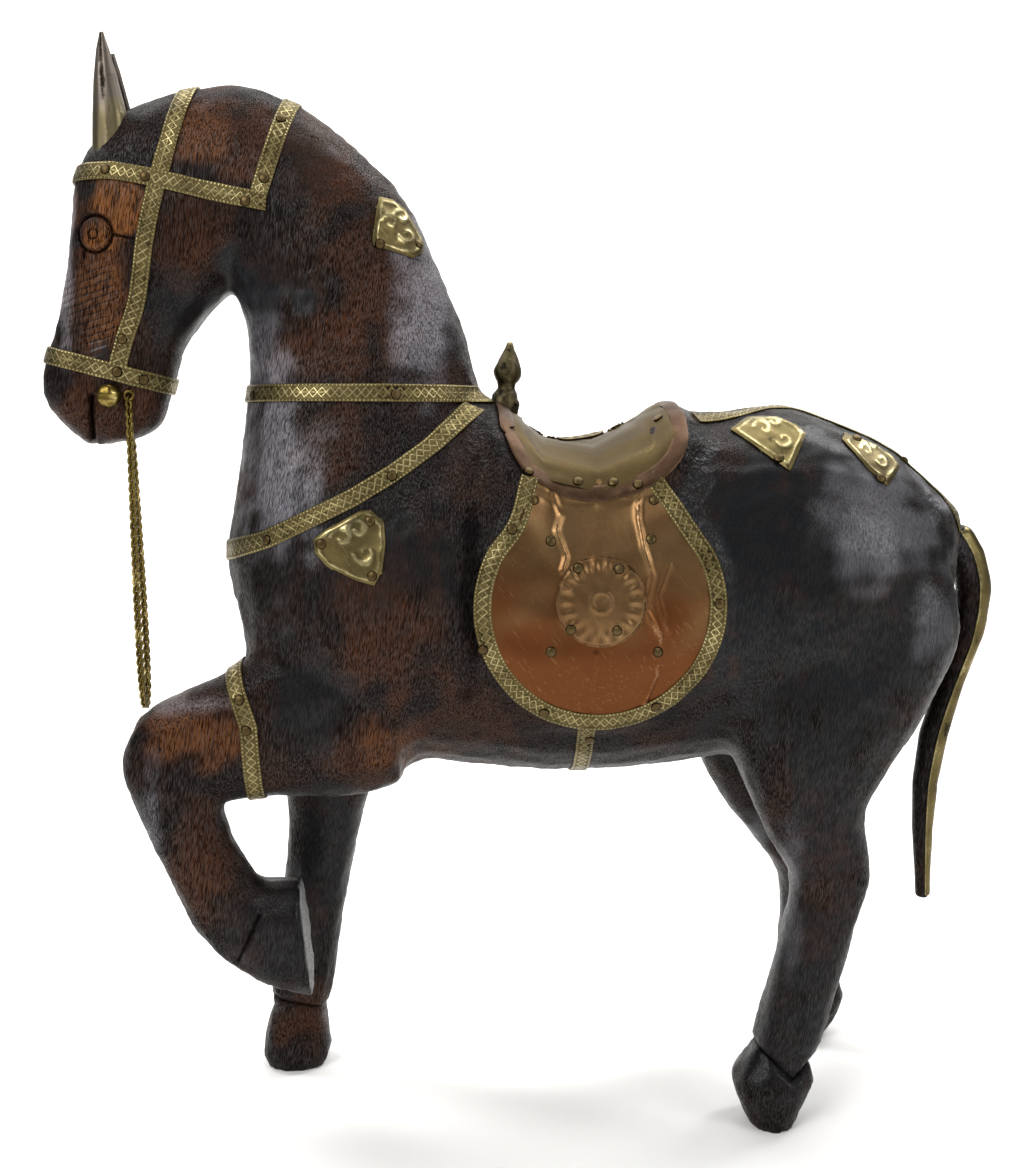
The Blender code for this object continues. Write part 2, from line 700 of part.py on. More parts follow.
def saddle(body):
    back = body.copy()
    keep_behind(back, BACK_FRONT * UNIT)
    keep_before(back, BACK_REAR * UNIT)
    keep_above(back, BACK_LOW * UNIT)
    top = back.copy()
    keep_above(top, SADDLE_LOW * UNIT)
    seat = top.copy()
    keep_outline(seat, SEAT_OUTLINE, grow=-RIM_WIDTH / 2 - CLEARANCE)
    nail_on(seat, "saddle_seat", flattening=PANEL_FLATTENING)
    nail_on(keep_band(top, SEAT_OUTLINE, RIM_WIDTH), "saddle_rim", "copper")
    rosette = top.copy()
    keep_outline(rosette, round_outline(ROSETTE_CENTRE, ROSETTE_RADIUS, 14), TOP_VIEW)
    nail_on(rosette, "seat_rosette", level=1)
    top.free()
    for side, word in SIDES:
        flank = back.copy()
        keep_near(flank, side, FLAP_INNER * UNIT)
        below_saddle(flank)
        line = flap_outline()
        panel = flank.copy()
        keep_outline(panel, line, grow=-TRIM_WIDTH / 2 - CLEARANCE)
        nail_on(panel, f"saddle_flap_{word}", "copper", flattening=PANEL_FLATTENING)
        nail_on(keep_band(flank, line[-1:] + line[:-1], TRIM_WIDTH), f"flap_trim_{word}")
        disc = flank.copy()
        keep_outline(disc, round_outline(DISC_CENTRE, DISC_RADIUS, 20))
        nail_on(disc, f"flap_disc_{word}", level=1, flattening=PANEL_FLATTENING)
        flank.free()
    belly = back.copy()
    keep_below(belly, FLAP_CENTRE[1] * UNIT - FLAP_RADIUS - CLEARANCE)
    nail_on(keep_band(belly, GIRTH_LINE, STRAP_WIDTH), "girth_strap")
    belly.free()
    back.free()


def below_saddle(mesh):
    """Keeps what is under the carved saddle's lower edge, clear of its step."""
    keep_below(mesh, min(z for _, z in SADDLE_MARGIN) * UNIT - SHEET - CLEARANCE)


def croup_fittings(body):
    croup = body.copy()
    keep_behind(croup, CRUPPER_FRONT * UNIT)
    keep_above(croup, CRUPPER_LOW * UNIT)
    for side, word in SIDES:
        half = croup.copy()
        keep_near(half, side, CLEARANCE)
        line = tuple((x, -side * y) for x, y in CRUPPER_LINE)
        crupper = keep_band(half, line, CRUPPER_WIDTH, TOP_VIEW)
        nail_on(crupper, f"crupper_strap_{word}")
        for outline, name in ((FRONT_CROUP_PLAQUE, "front"), (REAR_CROUP_PLAQUE, "rear")):
            plaque = half.copy()
            keep_outline(plaque, outline)
            keep_near(plaque, side, CROUP_PLAQUE_INNER * UNIT)
            nail_on(plaque, f"{name}_croup_plaque_{word}")
        half.free()
    croup.free()


def leg_band(body):
    leg = body.copy()
    keep_before(leg, LEG_BAND_REAR * UNIT)
    keep_below(leg, LEG_BAND_TOP * UNIT)
    keep_above(leg, LEG_BAND_LOW * UNIT)
    keep_near(leg, LEFT, LEG_BAND_INNER * UNIT)
    nail_on(keep_band(leg, LEG_BAND_LINE, STRAP_WIDTH), "foreleg_band")
    leg.free()


def grown_copy(horse, name, by):
    """The horse with its surface moved out, to cut what is let into it or stands on it."""
    made = bpy.data.objects.new(name, horse.data.copy())
    CUTTERS.objects.link(made)
    made.parent = CENTRE
    hide_cutter(made)
    grow = made.modifiers.new("grow", "DISPLACE")
    grow.strength = by
    grow.mid_level = 0
    return settled(made)


def carve_tail(socket):
    mesh = bmesh.new()
    loft(mesh, TAIL, TAIL_POWER, sides=10, steps=1)
    bmesh.ops.recalc_face_normals(mesh, faces=mesh.faces)
    tail = object_from(mesh, "tail")
    cut(tail, socket, "dock")
    settled(tail)
    mesh = as_bmesh(tail)
    rows = smooth_rows(TAIL[1:], 2)
    middles = [
        (x2 + (x1 - x2) * TAIL_STRIP_SHARE, z2 + (z1 - z2) * TAIL_STRIP_SHARE)
        for x1, z1, x2, z2, _, _ in rows
    ]
    bmesh.ops.triangulate(mesh, faces=mesh.faces)
    rear = [face for face in mesh.faces if behind_line(face, middles)]
    strip = bmesh.new()
    copies = {}
    for face in rear:
        corners = []
        for vert in face.verts:
            if vert not in copies:
                copies[vert] = strip.verts.new(vert.co)
            corners.append(copies[vert])
        strip.faces.new(corners)
    mesh.free()
    nail_on(strip, "tail_strip")


def behind_line(face, line):
    """Whether a face of the tail is on the rear side of a line down its middle."""
    x, _, z = face.calc_center_median() / UNIT
    if not line[-1][1] + 2 < z < line[0][1] - 1:
        return False
    for (x1, z1), (x2, z2) in zip(line, line[1:]):
        if z2 <= z <= z1:
            return x > x1 + (x2 - x1) * (z1 - z) / (z1 - z2)
    return False


def fold_ears(socket):
    """Two folded leaves of sheet brass let into the poll."""
    for side, word in SIDES:
        mesh = bmesh.new()
        rings = []
        for (x1, z1), (x2, z2), fold in zip(EAR_FRONT, EAR_REAR, EAR_FOLD):
            ring = []
            for i in range(EAR_FACETS + 1):
                angle = math.pi * i / EAR_FACETS
                x = (x1 + x2) / 2 + (x1 - x2) / 2 * math.cos(angle)
                y = side * (EAR_MIDDLE + fold * math.sin(angle))
                ring.append(mesh.verts.new(drawn((x, y, (z1 + z2) / 2 - EAR_DROP[side]))))
            rings.append(ring)
        for low, high in zip(rings, rings[1:]):
            for i in range(EAR_FACETS):
                mesh.faces.new((low[i], low[i + 1], high[i + 1], high[i]))
        ear = object_from(mesh, f"ear_{word}", "brass")
        solidify = ear.modifiers.new("sheet", "SOLIDIFY")
        solidify.thickness = EAR_SHEET
        solidify.offset = 0
        settled(ear)
        mesh = as_bmesh(ear)
        bmesh.ops.recalc_face_normals(mesh, faces=mesh.faces)
        mesh.to_mesh(ear.data)
        mesh.free()
        cut(ear, socket, "socket")
        settled(ear)


def mouth_bosses(tree, socket):
    """A domed boss each side of the mouth, and the ring that the chain hangs from."""
    ends = []
    for side, word in SIDES:
        place, normal = surface_at(tree, BOSS_PLACE, side)
        bpy.ops.mesh.primitive_uv_sphere_add(segments=12, ring_count=6, radius=BOSS_RADIUS, location=place)
        dome = bpy.context.object
        dome.rotation_mode = "QUATERNION"
        dome.rotation_quaternion = normal.to_track_quat("Z", "Y")
        dome.scale = (1, 1, BOSS_FLATNESS)
        adopt(dome, f"bit_boss_{word}", "brass")
        cut(dome, socket, "seat")
        settled(dome)
        beside = (BOSS_RADIUS + BIT_RING_RADIUS + BIT_RING_WIRE / 2 + CLEARANCE) / UNIT
        turn = BIT_RING_TURN[side]
        ring_place, _ = surface_at(
            tree, (BOSS_PLACE[0] + beside * math.cos(turn), BOSS_PLACE[1] + beside * math.sin(turn)), side
        )
        out = CLEARANCE + BIT_RING_WIRE / 2 + BIT_RING_STANDOFF
        ring_place = ring_place + Vector((0, side * out, 0))
        bpy.ops.mesh.primitive_torus_add(
            major_radius=BIT_RING_RADIUS, minor_radius=BIT_RING_WIRE / 2, major_segments=10, minor_segments=4,
            location=ring_place, rotation=(math.pi / 2, 0, 0),
        )
        ring = bpy.context.object
        adopt(ring, f"bit_ring_{word}", "brass")
        ends.append(ring_place)
    return ends


def adopt(made, name, metal):
    """Gives a primitive its name, finish and place in the horse's collection."""
    made.name = name
    made.data.name = name
    for group in list(made.users_collection):
        group.objects.unlink(made)
    HORSE.objects.link(made)
    made.data.materials.clear()
    made.data.materials.append(FINISHES[metal])
    made.parent = CENTRE


def hang_chain(left, right):
    """The rein chain as a plain tube: a hanging chain's curve between the rings."""
    half = (right.y - left.y) / 2
    drop = BIT_RING_RADIUS + BIT_RING_WIRE / 2 + CLEARANCE + CHAIN_DIAMETER / 2
    depth = CHAIN_SAG * (math.cosh(half / CHAIN_SAG) - 1)
    low = Vector((max(left.x, right.x), 0, (left.z + right.z) / 2 - drop - depth))
    data = bpy.data.curves.new("rein_chain", "CURVE")
    data.dimensions = "3D"
    data.bevel_depth = CHAIN_DIAMETER / 2
    data.bevel_resolution = 1
    data.use_fill_caps = True
    spline = data.splines.new("POLY")
    spline.points.add(CHAIN_POINTS - 1)
    for i, point in enumerate(spline.points):
        t = 2 * i / (CHAIN_POINTS - 1) - 1
        y = CHAIN_SAG * math.asinh(math.sinh(half / CHAIN_SAG) * t)
        share = CHAIN_SAG * (math.cosh(y / CHAIN_SAG) - 1) / depth
        end = left if t < 0 else right
        x = low.x + (end.x - low.x) * share
        z = low.z + (end.z - drop - low.z) * share
        point.co = (x, (left.y + right.y) / 2 + y, z, 1)
    made = bpy.data.objects.new("rein_chain", data)
    made.data.materials.append(FINISHES["brass"])
    HORSE.objects.link(made)
    made.parent = CENTRE


def turn_finial(tree, cutter):
    """The turned knob on the pommel, as a profile spun about its axis."""
    x, y = drawn(FINIAL_PLACE)
    hit, _, _, _ = tree.ray_cast(Vector((x, y, 1)), Vector((0, 0, -1)))
    data = bpy.data.meshes.new("pommel_finial")
    points = [(FINIAL_RADIUS * r, 0, FINIAL_HEIGHT * h) for r, h in FINIAL_PROFILE]
    data.from_pydata(points, [(i, i + 1) for i in range(len(points) - 1)], [])
    made = bpy.data.objects.new("pommel_finial", data)
    made.data.materials.append(FINISHES["bronze"])
    HORSE.objects.link(made)
    made.parent = CENTRE
    made.location = (x, y, hit.z + 2 * CLEARANCE + SHEET)
    made.rotation_euler.y = FINIAL_LEAN
    screw = made.modifiers.new("turn", "SCREW")
    screw.steps = screw.render_steps = 10
    screw.use_merge_vertices = True
    screw.merge_threshold = SAME_POINT
    cut(made, cutter, "foot")


def centre_on_floor():
    """Moves everything so that the origin is on the floor under the middle of the box."""
    bpy.context.view_layer.update()
    graph = bpy.context.evaluated_depsgraph_get()
    places = []
    for made in HORSE.objects:
        if made.type != "EMPTY":
            final = made.evaluated_get(graph)
            places += [final.matrix_world @ vert.co for vert in final.to_mesh().vertices]
            final.to_mesh_clear()
    for axis in range(2):
        values = [place[axis] for place in places]
        CENTRE.location[axis] = -(min(values) + max(values)) / 2


def main():
    horse = carve_horse()
    stand_on_floor(horse)
    body = as_bmesh(horse)
    bmesh.ops.triangulate(body, faces=body.faces)
    bridle(body)
    neck_fittings(body)
    saddle(body)
    croup_fittings(body)
    leg_band(body)
    body.free()
    tree = BVHTree.FromObject(horse, bpy.context.evaluated_depsgraph_get())
    socket = grown_copy(horse, "socket_cutter", CLEARANCE)
    over_sheet = grown_copy(horse, "over_sheet_cutter", 2 * CLEARANCE + SHEET)
    cut_details(horse)
    carve_tail(socket)
    fold_ears(socket)
    left, right = mouth_bosses(tree, socket)
    hang_chain(left, right)
    turn_finial(tree, over_sheet)
    centre_on_floor()
    for made in HORSE.objects:
        if made.type == "MESH":
            made.data.set_sharp_from_angle(angle=SHARP_EDGE)


main()
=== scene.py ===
"""Looks of a carved wooden horse with sheet brass and copper fittings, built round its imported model."""

import logging
import math
from contextlib import contextmanager
from dataclasses import dataclass, field
from enum import Enum
from typing import Callable, Iterator

import bpy
import numpy as np
from mathutils import Euler, Matrix, Vector
from mathutils.bvhtree import BVHTree

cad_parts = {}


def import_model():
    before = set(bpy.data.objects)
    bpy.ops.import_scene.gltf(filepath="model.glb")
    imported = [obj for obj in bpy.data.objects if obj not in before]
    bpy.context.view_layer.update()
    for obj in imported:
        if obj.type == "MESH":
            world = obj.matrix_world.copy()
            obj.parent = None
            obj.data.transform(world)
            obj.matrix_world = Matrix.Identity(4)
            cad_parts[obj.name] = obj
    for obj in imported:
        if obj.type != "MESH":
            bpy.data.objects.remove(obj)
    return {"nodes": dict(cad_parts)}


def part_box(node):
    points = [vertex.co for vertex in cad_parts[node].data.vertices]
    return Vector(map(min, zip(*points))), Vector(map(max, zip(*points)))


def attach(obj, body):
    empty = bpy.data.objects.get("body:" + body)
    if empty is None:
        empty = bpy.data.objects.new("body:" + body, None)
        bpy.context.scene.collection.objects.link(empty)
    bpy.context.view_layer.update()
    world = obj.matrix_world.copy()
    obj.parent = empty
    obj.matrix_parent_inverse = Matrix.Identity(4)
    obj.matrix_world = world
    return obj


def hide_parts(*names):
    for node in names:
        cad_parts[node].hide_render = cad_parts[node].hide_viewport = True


LOG = logging.getLogger("carved_horse")
MM = 0.001
BODY = "root"
SAME_POINT = 1e-6
STRETCHED = 1000.0  # millimetres: the size of a feature in coordinates that are stretched to its own size
Array = np.ndarray
Pair = tuple[float, float]
Spot = tuple[float, float, float]
Line = tuple[Pair, ...]
Piece = bpy.types.Object
Tree = bpy.types.NodeTree
Socket = bpy.types.NodeSocket


class Side(Enum):
    """The horse's own sides; the value is the sign of Y."""

    LEFT = -1
    RIGHT = 1

    @property
    def word(self) -> str:
        """The side's word in the names of pieces."""
        return self.name.lower()


class View(Enum):
    """How an outline is laid on the horse."""

    SIDE = "side"
    TOP = "top"
    SADDLE = "saddle"


def linear(code: str) -> tuple[float, float, float, float]:
    """A colour given as an sRGB hex code, as linear RGBA.

    Args:
        code: The colour, such as "#8a7a3e".

    Returns:
        Red, green, blue and an alpha of one.
    """
    parts = [int(code[i:i + 2], 16) / 255 for i in (1, 3, 5)]
    red, green, blue = (c / 12.92 if c <= 0.04045 else ((c + 0.055) / 1.055) ** 2.4 for c in parts)
    return (red, green, blue, 1.0)


def per_metre(size_mm: float) -> float:
    """The texture scale at which one feature measures the given millimetres."""
    return 1 / (size_mm * MM)


def add_node(tree: Tree, kind: str, settings: dict | None = None,
             inputs: dict | None = None) -> bpy.types.Node:
    """Adds a shader node with its settings, values and links.

    Args:
        tree: The material's node tree.
        kind: The node's type name without its "ShaderNode".
        settings: Properties of the node by name.
        inputs: Values, or sockets to link from, by the input's name or number.

    Returns:
        The new node.
    """
    made = tree.nodes.new(f"ShaderNode{kind}")
    for name, value in (settings or {}).items():
        setattr(made, name, value)
    for key, value in (inputs or {}).items():
        if isinstance(value, Socket):
            tree.links.new(value, made.inputs[key])
        else:
            made.inputs[key].default_value = value
    return made


def ramp(tree: Tree, factor: Socket, low: float, high: float,
         start: float = 0.0, end: float = 1.0) -> Socket:
    """A smooth step of a value between two limits.

    Args:
        tree: The material's node tree.
        factor: The value.
        low: Where the step starts.
        high: Where it ends.
        start: The result below the step.
        end: The result above it.

    Returns:
        The socket with the result.
    """
    made = add_node(tree, "MapRange", {"interpolation_type": "SMOOTHSTEP"},
                    {"Value": factor, "From Min": low, "From Max": high, "To Min": start, "To Max": end})
    return made.outputs["Result"]


def blend(tree: Tree, factor: Socket | float, first: object,
          second: object) -> Socket:
    """Mixes two colours.

    Args:
        tree: The material's node tree.
        factor: How much of the second colour.
        first: A colour or a socket.
        second: A colour or a socket.

    Returns:
        The socket with the mixed colour.
    """
    made = add_node(tree, "Mix", {"data_type": "RGBA"}, {0: factor, 6: first, 7: second})
    return made.outputs[2]


def sums(tree: Tree, operation: str, first: object, second: object) -> Socket:
    """One sum on two values, held between nought and one.

    Args:
        tree: The material's node tree.
        operation: The sum's name.
        first: A value or a socket.
        second: A value or a socket.

    Returns:
        The socket with the result.
    """
    made = add_node(tree, "Math", {"operation": operation, "use_clamp": True},
                    {0: first, 1: second})
    return made.outputs[0]


def plus(tree: Tree, first: object, second: object) -> Socket:
    """Two values added, held between nought and one."""
    return sums(tree, "ADD", first, second)


def times(tree: Tree, first: object, second: object) -> Socket:
    """Two values multiplied, held between nought and one."""
    return sums(tree, "MULTIPLY", first, second)


def painted(tree: Tree, name: str) -> Socket:
    """The value of a painted attribute of the piece."""
    return add_node(tree, "Attribute", {"attribute_name": name}).outputs["Fac"]


def noise(tree: Tree, where: Socket, size_mm: float, detail: float = 2.0,
          roughness: float = 0.55) -> Socket:
    """Noise whose features measure about the given millimetres.

    Args:
        tree: The material's node tree.
        where: The coordinates.
        size_mm: The usual size of a feature.
        detail: How many finer layers are added.
        roughness: How strong each finer layer is.

    Returns:
        The socket with the noise.
    """
    made = add_node(tree, "TexNoise", None, {
        "Vector": where, "Scale": per_metre(size_mm), "Detail": detail, "Roughness": roughness})
    return made.outputs["Fac"]


def stretched(tree: Tree, where: Socket, lean: float, width: float,
              length: float) -> Socket:
    """Coordinates in which a feature of one metre is a dash of the given millimetres.

    Args:
        tree: The material's node tree.
        where: The coordinates in metres.
        lean: The lean of the dashes from upright, in radians.
        width: A dash's width in millimetres.
        length: Its length in millimetres.

    Returns:
        The socket with the scaled coordinates.
    """
    turned = add_node(tree, "Mapping", None, {"Vector": where, "Rotation": (0, lean, 0)})
    made = add_node(tree, "Mapping", None, {
        "Vector": turned.outputs[0], "Scale": (per_metre(width), per_metre(width), per_metre(length))})
    return made.outputs[0]


@dataclass(frozen=True)
class Stamping:
    """The pattern punched into a strap: crossed lines between beaded edges, in millimetres, by the strap's
    run and the place across it."""

    pitch: float = 6.2
    half: float = 1.75
    line: float = 0.31
    bead: float = 1.4
    bead_place: float = 2.65
    dot: float = 0.8

    def wire(self, tree: Tree) -> Socket:
        """The pattern's height, from nought to one.

        Args:
            tree: The material's node tree.

        Returns:
            The socket with the height.
        """
        flat = add_node(tree, "TexCoord").outputs["UV"]
        place = add_node(tree, "VectorMath", {"operation": "SCALE"},
                         {"Vector": flat, "Scale": 1 / MM})
        parts = add_node(tree, "SeparateXYZ", None, {0: place.outputs[0]})
        run, across = parts.outputs["X"], parts.outputs["Y"]

        def figure(operation: str, *values: object) -> Socket:
            """One unclamped sum."""
            made = add_node(tree, "Math", {"operation": operation}, dict(enumerate(values)))
            return made.outputs[0]

        wide = figure("ABSOLUTE", across)
        zigzag = figure("PINGPONG", run, self.pitch / 2)
        slope = figure("MULTIPLY", figure("SUBTRACT", zigzag, self.pitch / 4), 4 * self.half / self.pitch)
        first = figure("ABSOLUTE", figure("SUBTRACT", across, slope))
        second = figure("ABSOLUTE", figure("ADD", across, slope))
        cross = ramp(tree, figure("MINIMUM", first, second), 2 * self.line, 0.4 * self.line)
        middle = ramp(tree, figure("ABSOLUTE", across), 2 * self.line, 0.4 * self.line, 0.0, 0.7)
        inner = ramp(tree, wide, self.half + 0.3, self.half)
        cross = figure("MULTIPLY", figure("MAXIMUM", cross, middle), inner)
        wave = figure("COSINE", figure("MULTIPLY", run, math.tau / self.bead))
        beads = figure("MULTIPLY_ADD", wave, 0.5, 0.5)
        edge = ramp(tree, figure("ABSOLUTE", figure("SUBTRACT", wide, self.bead_place)), 0.5, 0.15)
        dots = add_node(tree, "TexVoronoi", None,
                        {"Vector": place.outputs[0], "Scale": 1 / self.dot})
        punched = ramp(tree, dots.outputs["Distance"], 0.1, 0.5, 0.34, 0.0)
        return figure("MAXIMUM", figure("MAXIMUM", cross, figure("MULTIPLY", beads, edge)), punched)


class Finish:
    """A finish that builds its material once."""

    name: str = ""

    def material(self) -> bpy.types.Material:
        """The material, built on first use.

        Returns:
            The material.
        """
        made = bpy.data.materials.get(self.name)
        if made is None:
            made = bpy.data.materials.new(self.name)
            made.use_nodes = True
            self.wire(made.node_tree, made.node_tree.nodes["Principled BSDF"])
        return made

    def wire(self, tree: Tree, shader: bpy.types.Node) -> None:
        """Wires the nodes of the finish."""
        raise NotImplementedError


@dataclass(frozen=True)
class StainedRosewood(Finish):
    """Rosewood, scraped, stained near black and waxed: short open pores along the grain break its soft gloss,
    and the stain is rubbed through to red and orange where hands and tools wore it."""

    name: str = "stained_rosewood"
    ground: str = "#150f0c"
    warm: str = "#432614"
    worn: str = "#774a24"
    blue: str = "#05080c"
    dust: str = "#96949c"
    pore: str = "#050404"
    pore_width: float = 0.34
    pore_length: float = 3.4
    lean: float = math.radians(8)
    cut_pitch: float = 2.4
    cut_lean: float = math.radians(17)

    def wire(self, tree: Tree, shader: bpy.types.Node) -> None:
        """Wires stain, wear, dust with a painted sheen, painted glints, pores and painted shade.

        Args:
            tree: The material's node tree.
            shader: Its surface shader.
        """
        where = add_node(tree, "TexCoord").outputs["Object"]
        grain = stretched(tree, where, -self.lean, self.pore_width, self.pore_length)
        fine = noise(tree, grain, STRETCHED, 1.0, 0.5)
        long_grain = stretched(tree, where, -self.lean, 2 * self.pore_width, 4 * self.pore_length)
        band = noise(tree, long_grain, STRETCHED, 3.0, 0.6)
        cloud = noise(tree, where, 24, 4)
        red = plus(tree, painted(tree, "red"), ramp(tree, cloud, 0.45, 0.72, 0.0, 0.4))
        red = times(tree, red, ramp(tree, band, 0.3, 0.62, 0.35, 1.0))
        colour = blend(tree, red, linear(self.ground), linear(self.warm))
        stain = times(tree, painted(tree, "blue"), ramp(tree, noise(tree, where, 7, 3), 0.3, 0.6, 0.5, 1.0))
        colour = blend(tree, stain, colour, linear(self.blue))
        rubbed_and_sheen = times(tree, painted(tree, "worn"), ramp(tree, band, 0.34, 0.6, 0.15, 1.0))
        colour = blend(tree, rubbed_and_sheen, colour, linear(self.worn))
        # Partly dust, partly painted sheen: the light grey dust colour is laid on the neck, breast, front of
        # the face and hip.
        rubbed_and_sheen = times(tree, painted(tree, "dust"), ramp(tree, band, 0.3, 0.6, 0.2, 0.55))
        colour = blend(tree, rubbed_and_sheen, colour, linear(self.dust))
        calm = ramp(tree, painted(tree, "blue"), 0.1, 0.8, 1.0, 0.22)
        # Painted glints: light dashes in the dust colour along the grain, stronger where the sheen is
        # painted.
        dash = times(tree, calm, ramp(tree, fine, 0.57, 0.63))
        glinting_dashes = times(tree, dash, plus(tree, painted(tree, "dust"), 0.1))
        colour = blend(tree, times(tree, glinting_dashes, 0.36), colour, linear(self.dust))
        pores = times(tree, calm, ramp(tree, fine, 0.44, 0.39, 0.0, 0.8))
        # Painted shade: the cut grooves of the eyes, mouth and hooves, and a strip before the saddle, are
        # painted near black like the pores.
        dark = plus(tree, pores, painted(tree, "dark"))
        chisel = self.chisel(tree, where)
        # Painted shade in the valleys of the chisel cuts.
        dark = plus(tree, dark, ramp(tree, chisel, 0.45, 0.1, 0.0, 0.5))
        colour = blend(tree, dark, colour, linear(self.pore))
        tree.links.new(colour, shader.inputs["Base Color"])
        tree.links.new(ramp(tree, fine, 0.35, 0.65, 0.5, 0.34), shader.inputs["Roughness"])
        shader.inputs["IOR"].default_value = 1.5
        waxed = plus(tree, painted(tree, "dust"), times(tree, painted(tree, "blue"), 0.5))
        gloss = plus(tree, ramp(tree, fine, 0.42, 0.6, 0.04, 0.18), times(tree, waxed, 0.24))
        gloss = times(tree, gloss, ramp(tree, painted(tree, "dark"), 0.1, 0.8, 1.0, 0.05))
        tree.links.new(gloss, shader.inputs["Specular IOR Level"])
        relief = times(tree, calm, times(tree, fine, 0.34))
        height = plus(tree, relief, times(tree, chisel, 0.45))
        bump = add_node(tree, "Bump", None,
                        {"Height": height, "Strength": 1.0, "Distance": 0.62 * MM})
        rough = noise(tree, where, 2.6, 3)
        chips = times(tree, rough, painted(tree, "tooled"))
        tooled = add_node(tree, "Bump", None, {
            "Height": chips, "Strength": 1.0, "Distance": 1.6 * MM, "Normal": bump.outputs[0]})
        tree.links.new(tooled.outputs[0], shader.inputs["Normal"])

    def chisel(self, tree: Tree, where: Socket) -> Socket:
        """Slanting chisel cuts where they are painted, and one elsewhere.

        Args:
            tree: The material's node tree.
            where: The coordinates.

        Returns:
            The socket with their height, one where nothing is cut.
        """
        turned = add_node(tree, "Mapping", None,
                          {"Vector": where, "Rotation": (0, self.cut_lean, 0)})
        cuts = add_node(tree, "TexWave", {"bands_direction": "Z"}, {
            "Vector": turned.outputs[0], "Scale": per_metre(self.cut_pitch) * math.tau / 20,
            "Distortion": 1.6, "Detail": 2.0, "Detail Scale": 2.0})
        return blend(tree, painted(tree, "chiselled"), (1, 1, 1, 1), cuts.outputs["Fac"])


@dataclass(frozen=True)
class SheetMetal(Finish):
    """Thin rolled sheet, stamped by hand and aged: grime lies dull in the recesses, and what stands proud is
    rubbed bright. Colours run from grime over the aged face to the bright metal."""

    name: str = "stamped_brass"
    grime: str = "#1f1a10"
    aged: str = "#665b3a"
    bright: str = "#b5a97c"
    tint: str = "#4f442a"
    gloss: Pair = (0.52, 0.34)
    stain_size: float = 9.0
    scratch: float = 0.25
    mottling: float = 0.6
    stamping: Stamping | None = None

    def wire(self, tree: Tree, shader: bpy.types.Node) -> None:
        """Wires patina by the painted wear, with stains, scratches and fine dents.

        Args:
            tree: The material's node tree.
            shader: Its surface shader.
        """
        where = add_node(tree, "TexCoord").outputs["Object"]
        wear = painted(tree, "worn")
        mottle = noise(tree, where, self.stain_size, 4, 0.6)
        speck = noise(tree, where, 1.1, 2)
        patches = ramp(tree, mottle, 0.4, 0.65, 0.0, self.mottling)
        aged = blend(tree, patches, linear(self.aged), linear(self.tint))
        aged = blend(tree, painted(tree, "tinting"), aged, linear(self.tint))
        lines = stretched(tree, where, math.radians(38), 0.35, 14)
        marks = noise(tree, lines, STRETCHED, 1.0, 0.5)
        scratch = times(tree, ramp(tree, marks, 0.66, 0.74), self.scratch)
        height = plus(tree, wear, ramp(tree, speck, 0.3, 0.7, -0.07, 0.07))
        dents = noise(tree, where, 2.2, 3)
        if self.stamping:
            stamped = self.stamping.wire(tree)
            height = plus(tree, height, add_node(tree, "MapRange", None, {
                "Value": stamped, "To Min": -0.24, "To Max": 0.36}).outputs["Result"])
            dents = plus(tree, times(tree, dents, 0.25), times(tree, stamped, 0.75))
        colour = blend(tree, ramp(tree, height, 0.0, 0.34), linear(self.grime), aged)
        colour = blend(tree, ramp(tree, height, 0.62, 1.0), colour, linear(self.bright))
        colour = blend(tree, scratch, colour, linear(self.bright))
        tree.links.new(colour, shader.inputs["Base Color"])
        shader.inputs["Metallic"].default_value = 1.0
        tree.links.new(ramp(tree, height, 0.2, 0.9, *self.gloss), shader.inputs["Roughness"])
        strength, depth = (0.8, 0.3) if self.stamping else (0.35, 0.12)
        bump = add_node(tree, "Bump", None, {
            "Height": dents, "Strength": strength, "Distance": depth * MM})
        tree.links.new(bump.outputs[0], shader.inputs["Normal"])


WOOD = StainedRosewood()
BRASS = SheetMetal("plain_sheet_brass")
STAMPED_BRASS = SheetMetal(stamping=Stamping())
EAR_BRASS = SheetMetal("ear_sheet_brass", "#1c1812", "#73694e", "#a89e82", "#6a6159",
                       (0.5, 0.38), 5.0, 0.1, 0.3)
SEAT_BRASS = SheetMetal("seat_sheet_brass", "#1a140d", "#4c3f26", "#8a774e", "#3d321e",
                        (0.56, 0.44), 16.0, 0.2)
COPPER = SheetMetal("aged_sheet_copper", "#24160e", "#7c6242", "#b08a66", "#613a20",
                    (0.44, 0.34), 14.0, 0.3, 0.25)
RIM_COPPER = SheetMetal("folded_copper_strip", "#1a120d", "#503d2e", "#93785f", "#3e2c20",
                        (0.54, 0.42), 5.0, 0.2)
NAIL_METAL = SheetMetal("nail_brass", "#0c0906", "#57492f", "#9c8a62", "#473823", (0.5, 0.36), 3.0, 0.1)
BRONZE = SheetMetal("turned_bronze", "#1b1812", "#574e38", "#9c9068", "#453c2a", (0.55, 0.4), 4.0, 0.1)
GOLD_BRASS = SheetMetal("hammered_brass", "#2b2310", "#766531", "#c4b170", "#614f27", (0.42, 0.28), 6.0, 0.1)


def deselect() -> None:
    """Leaves nothing selected, so that an operator acts on the next piece alone."""
    bpy.ops.object.select_all(action="DESELECT")


def activate(piece: Piece) -> None:
    """Selects one piece and makes it the active one.

    Args:
        piece: The piece.
    """
    deselect()
    piece.select_set(True)
    bpy.context.view_layer.objects.active = piece


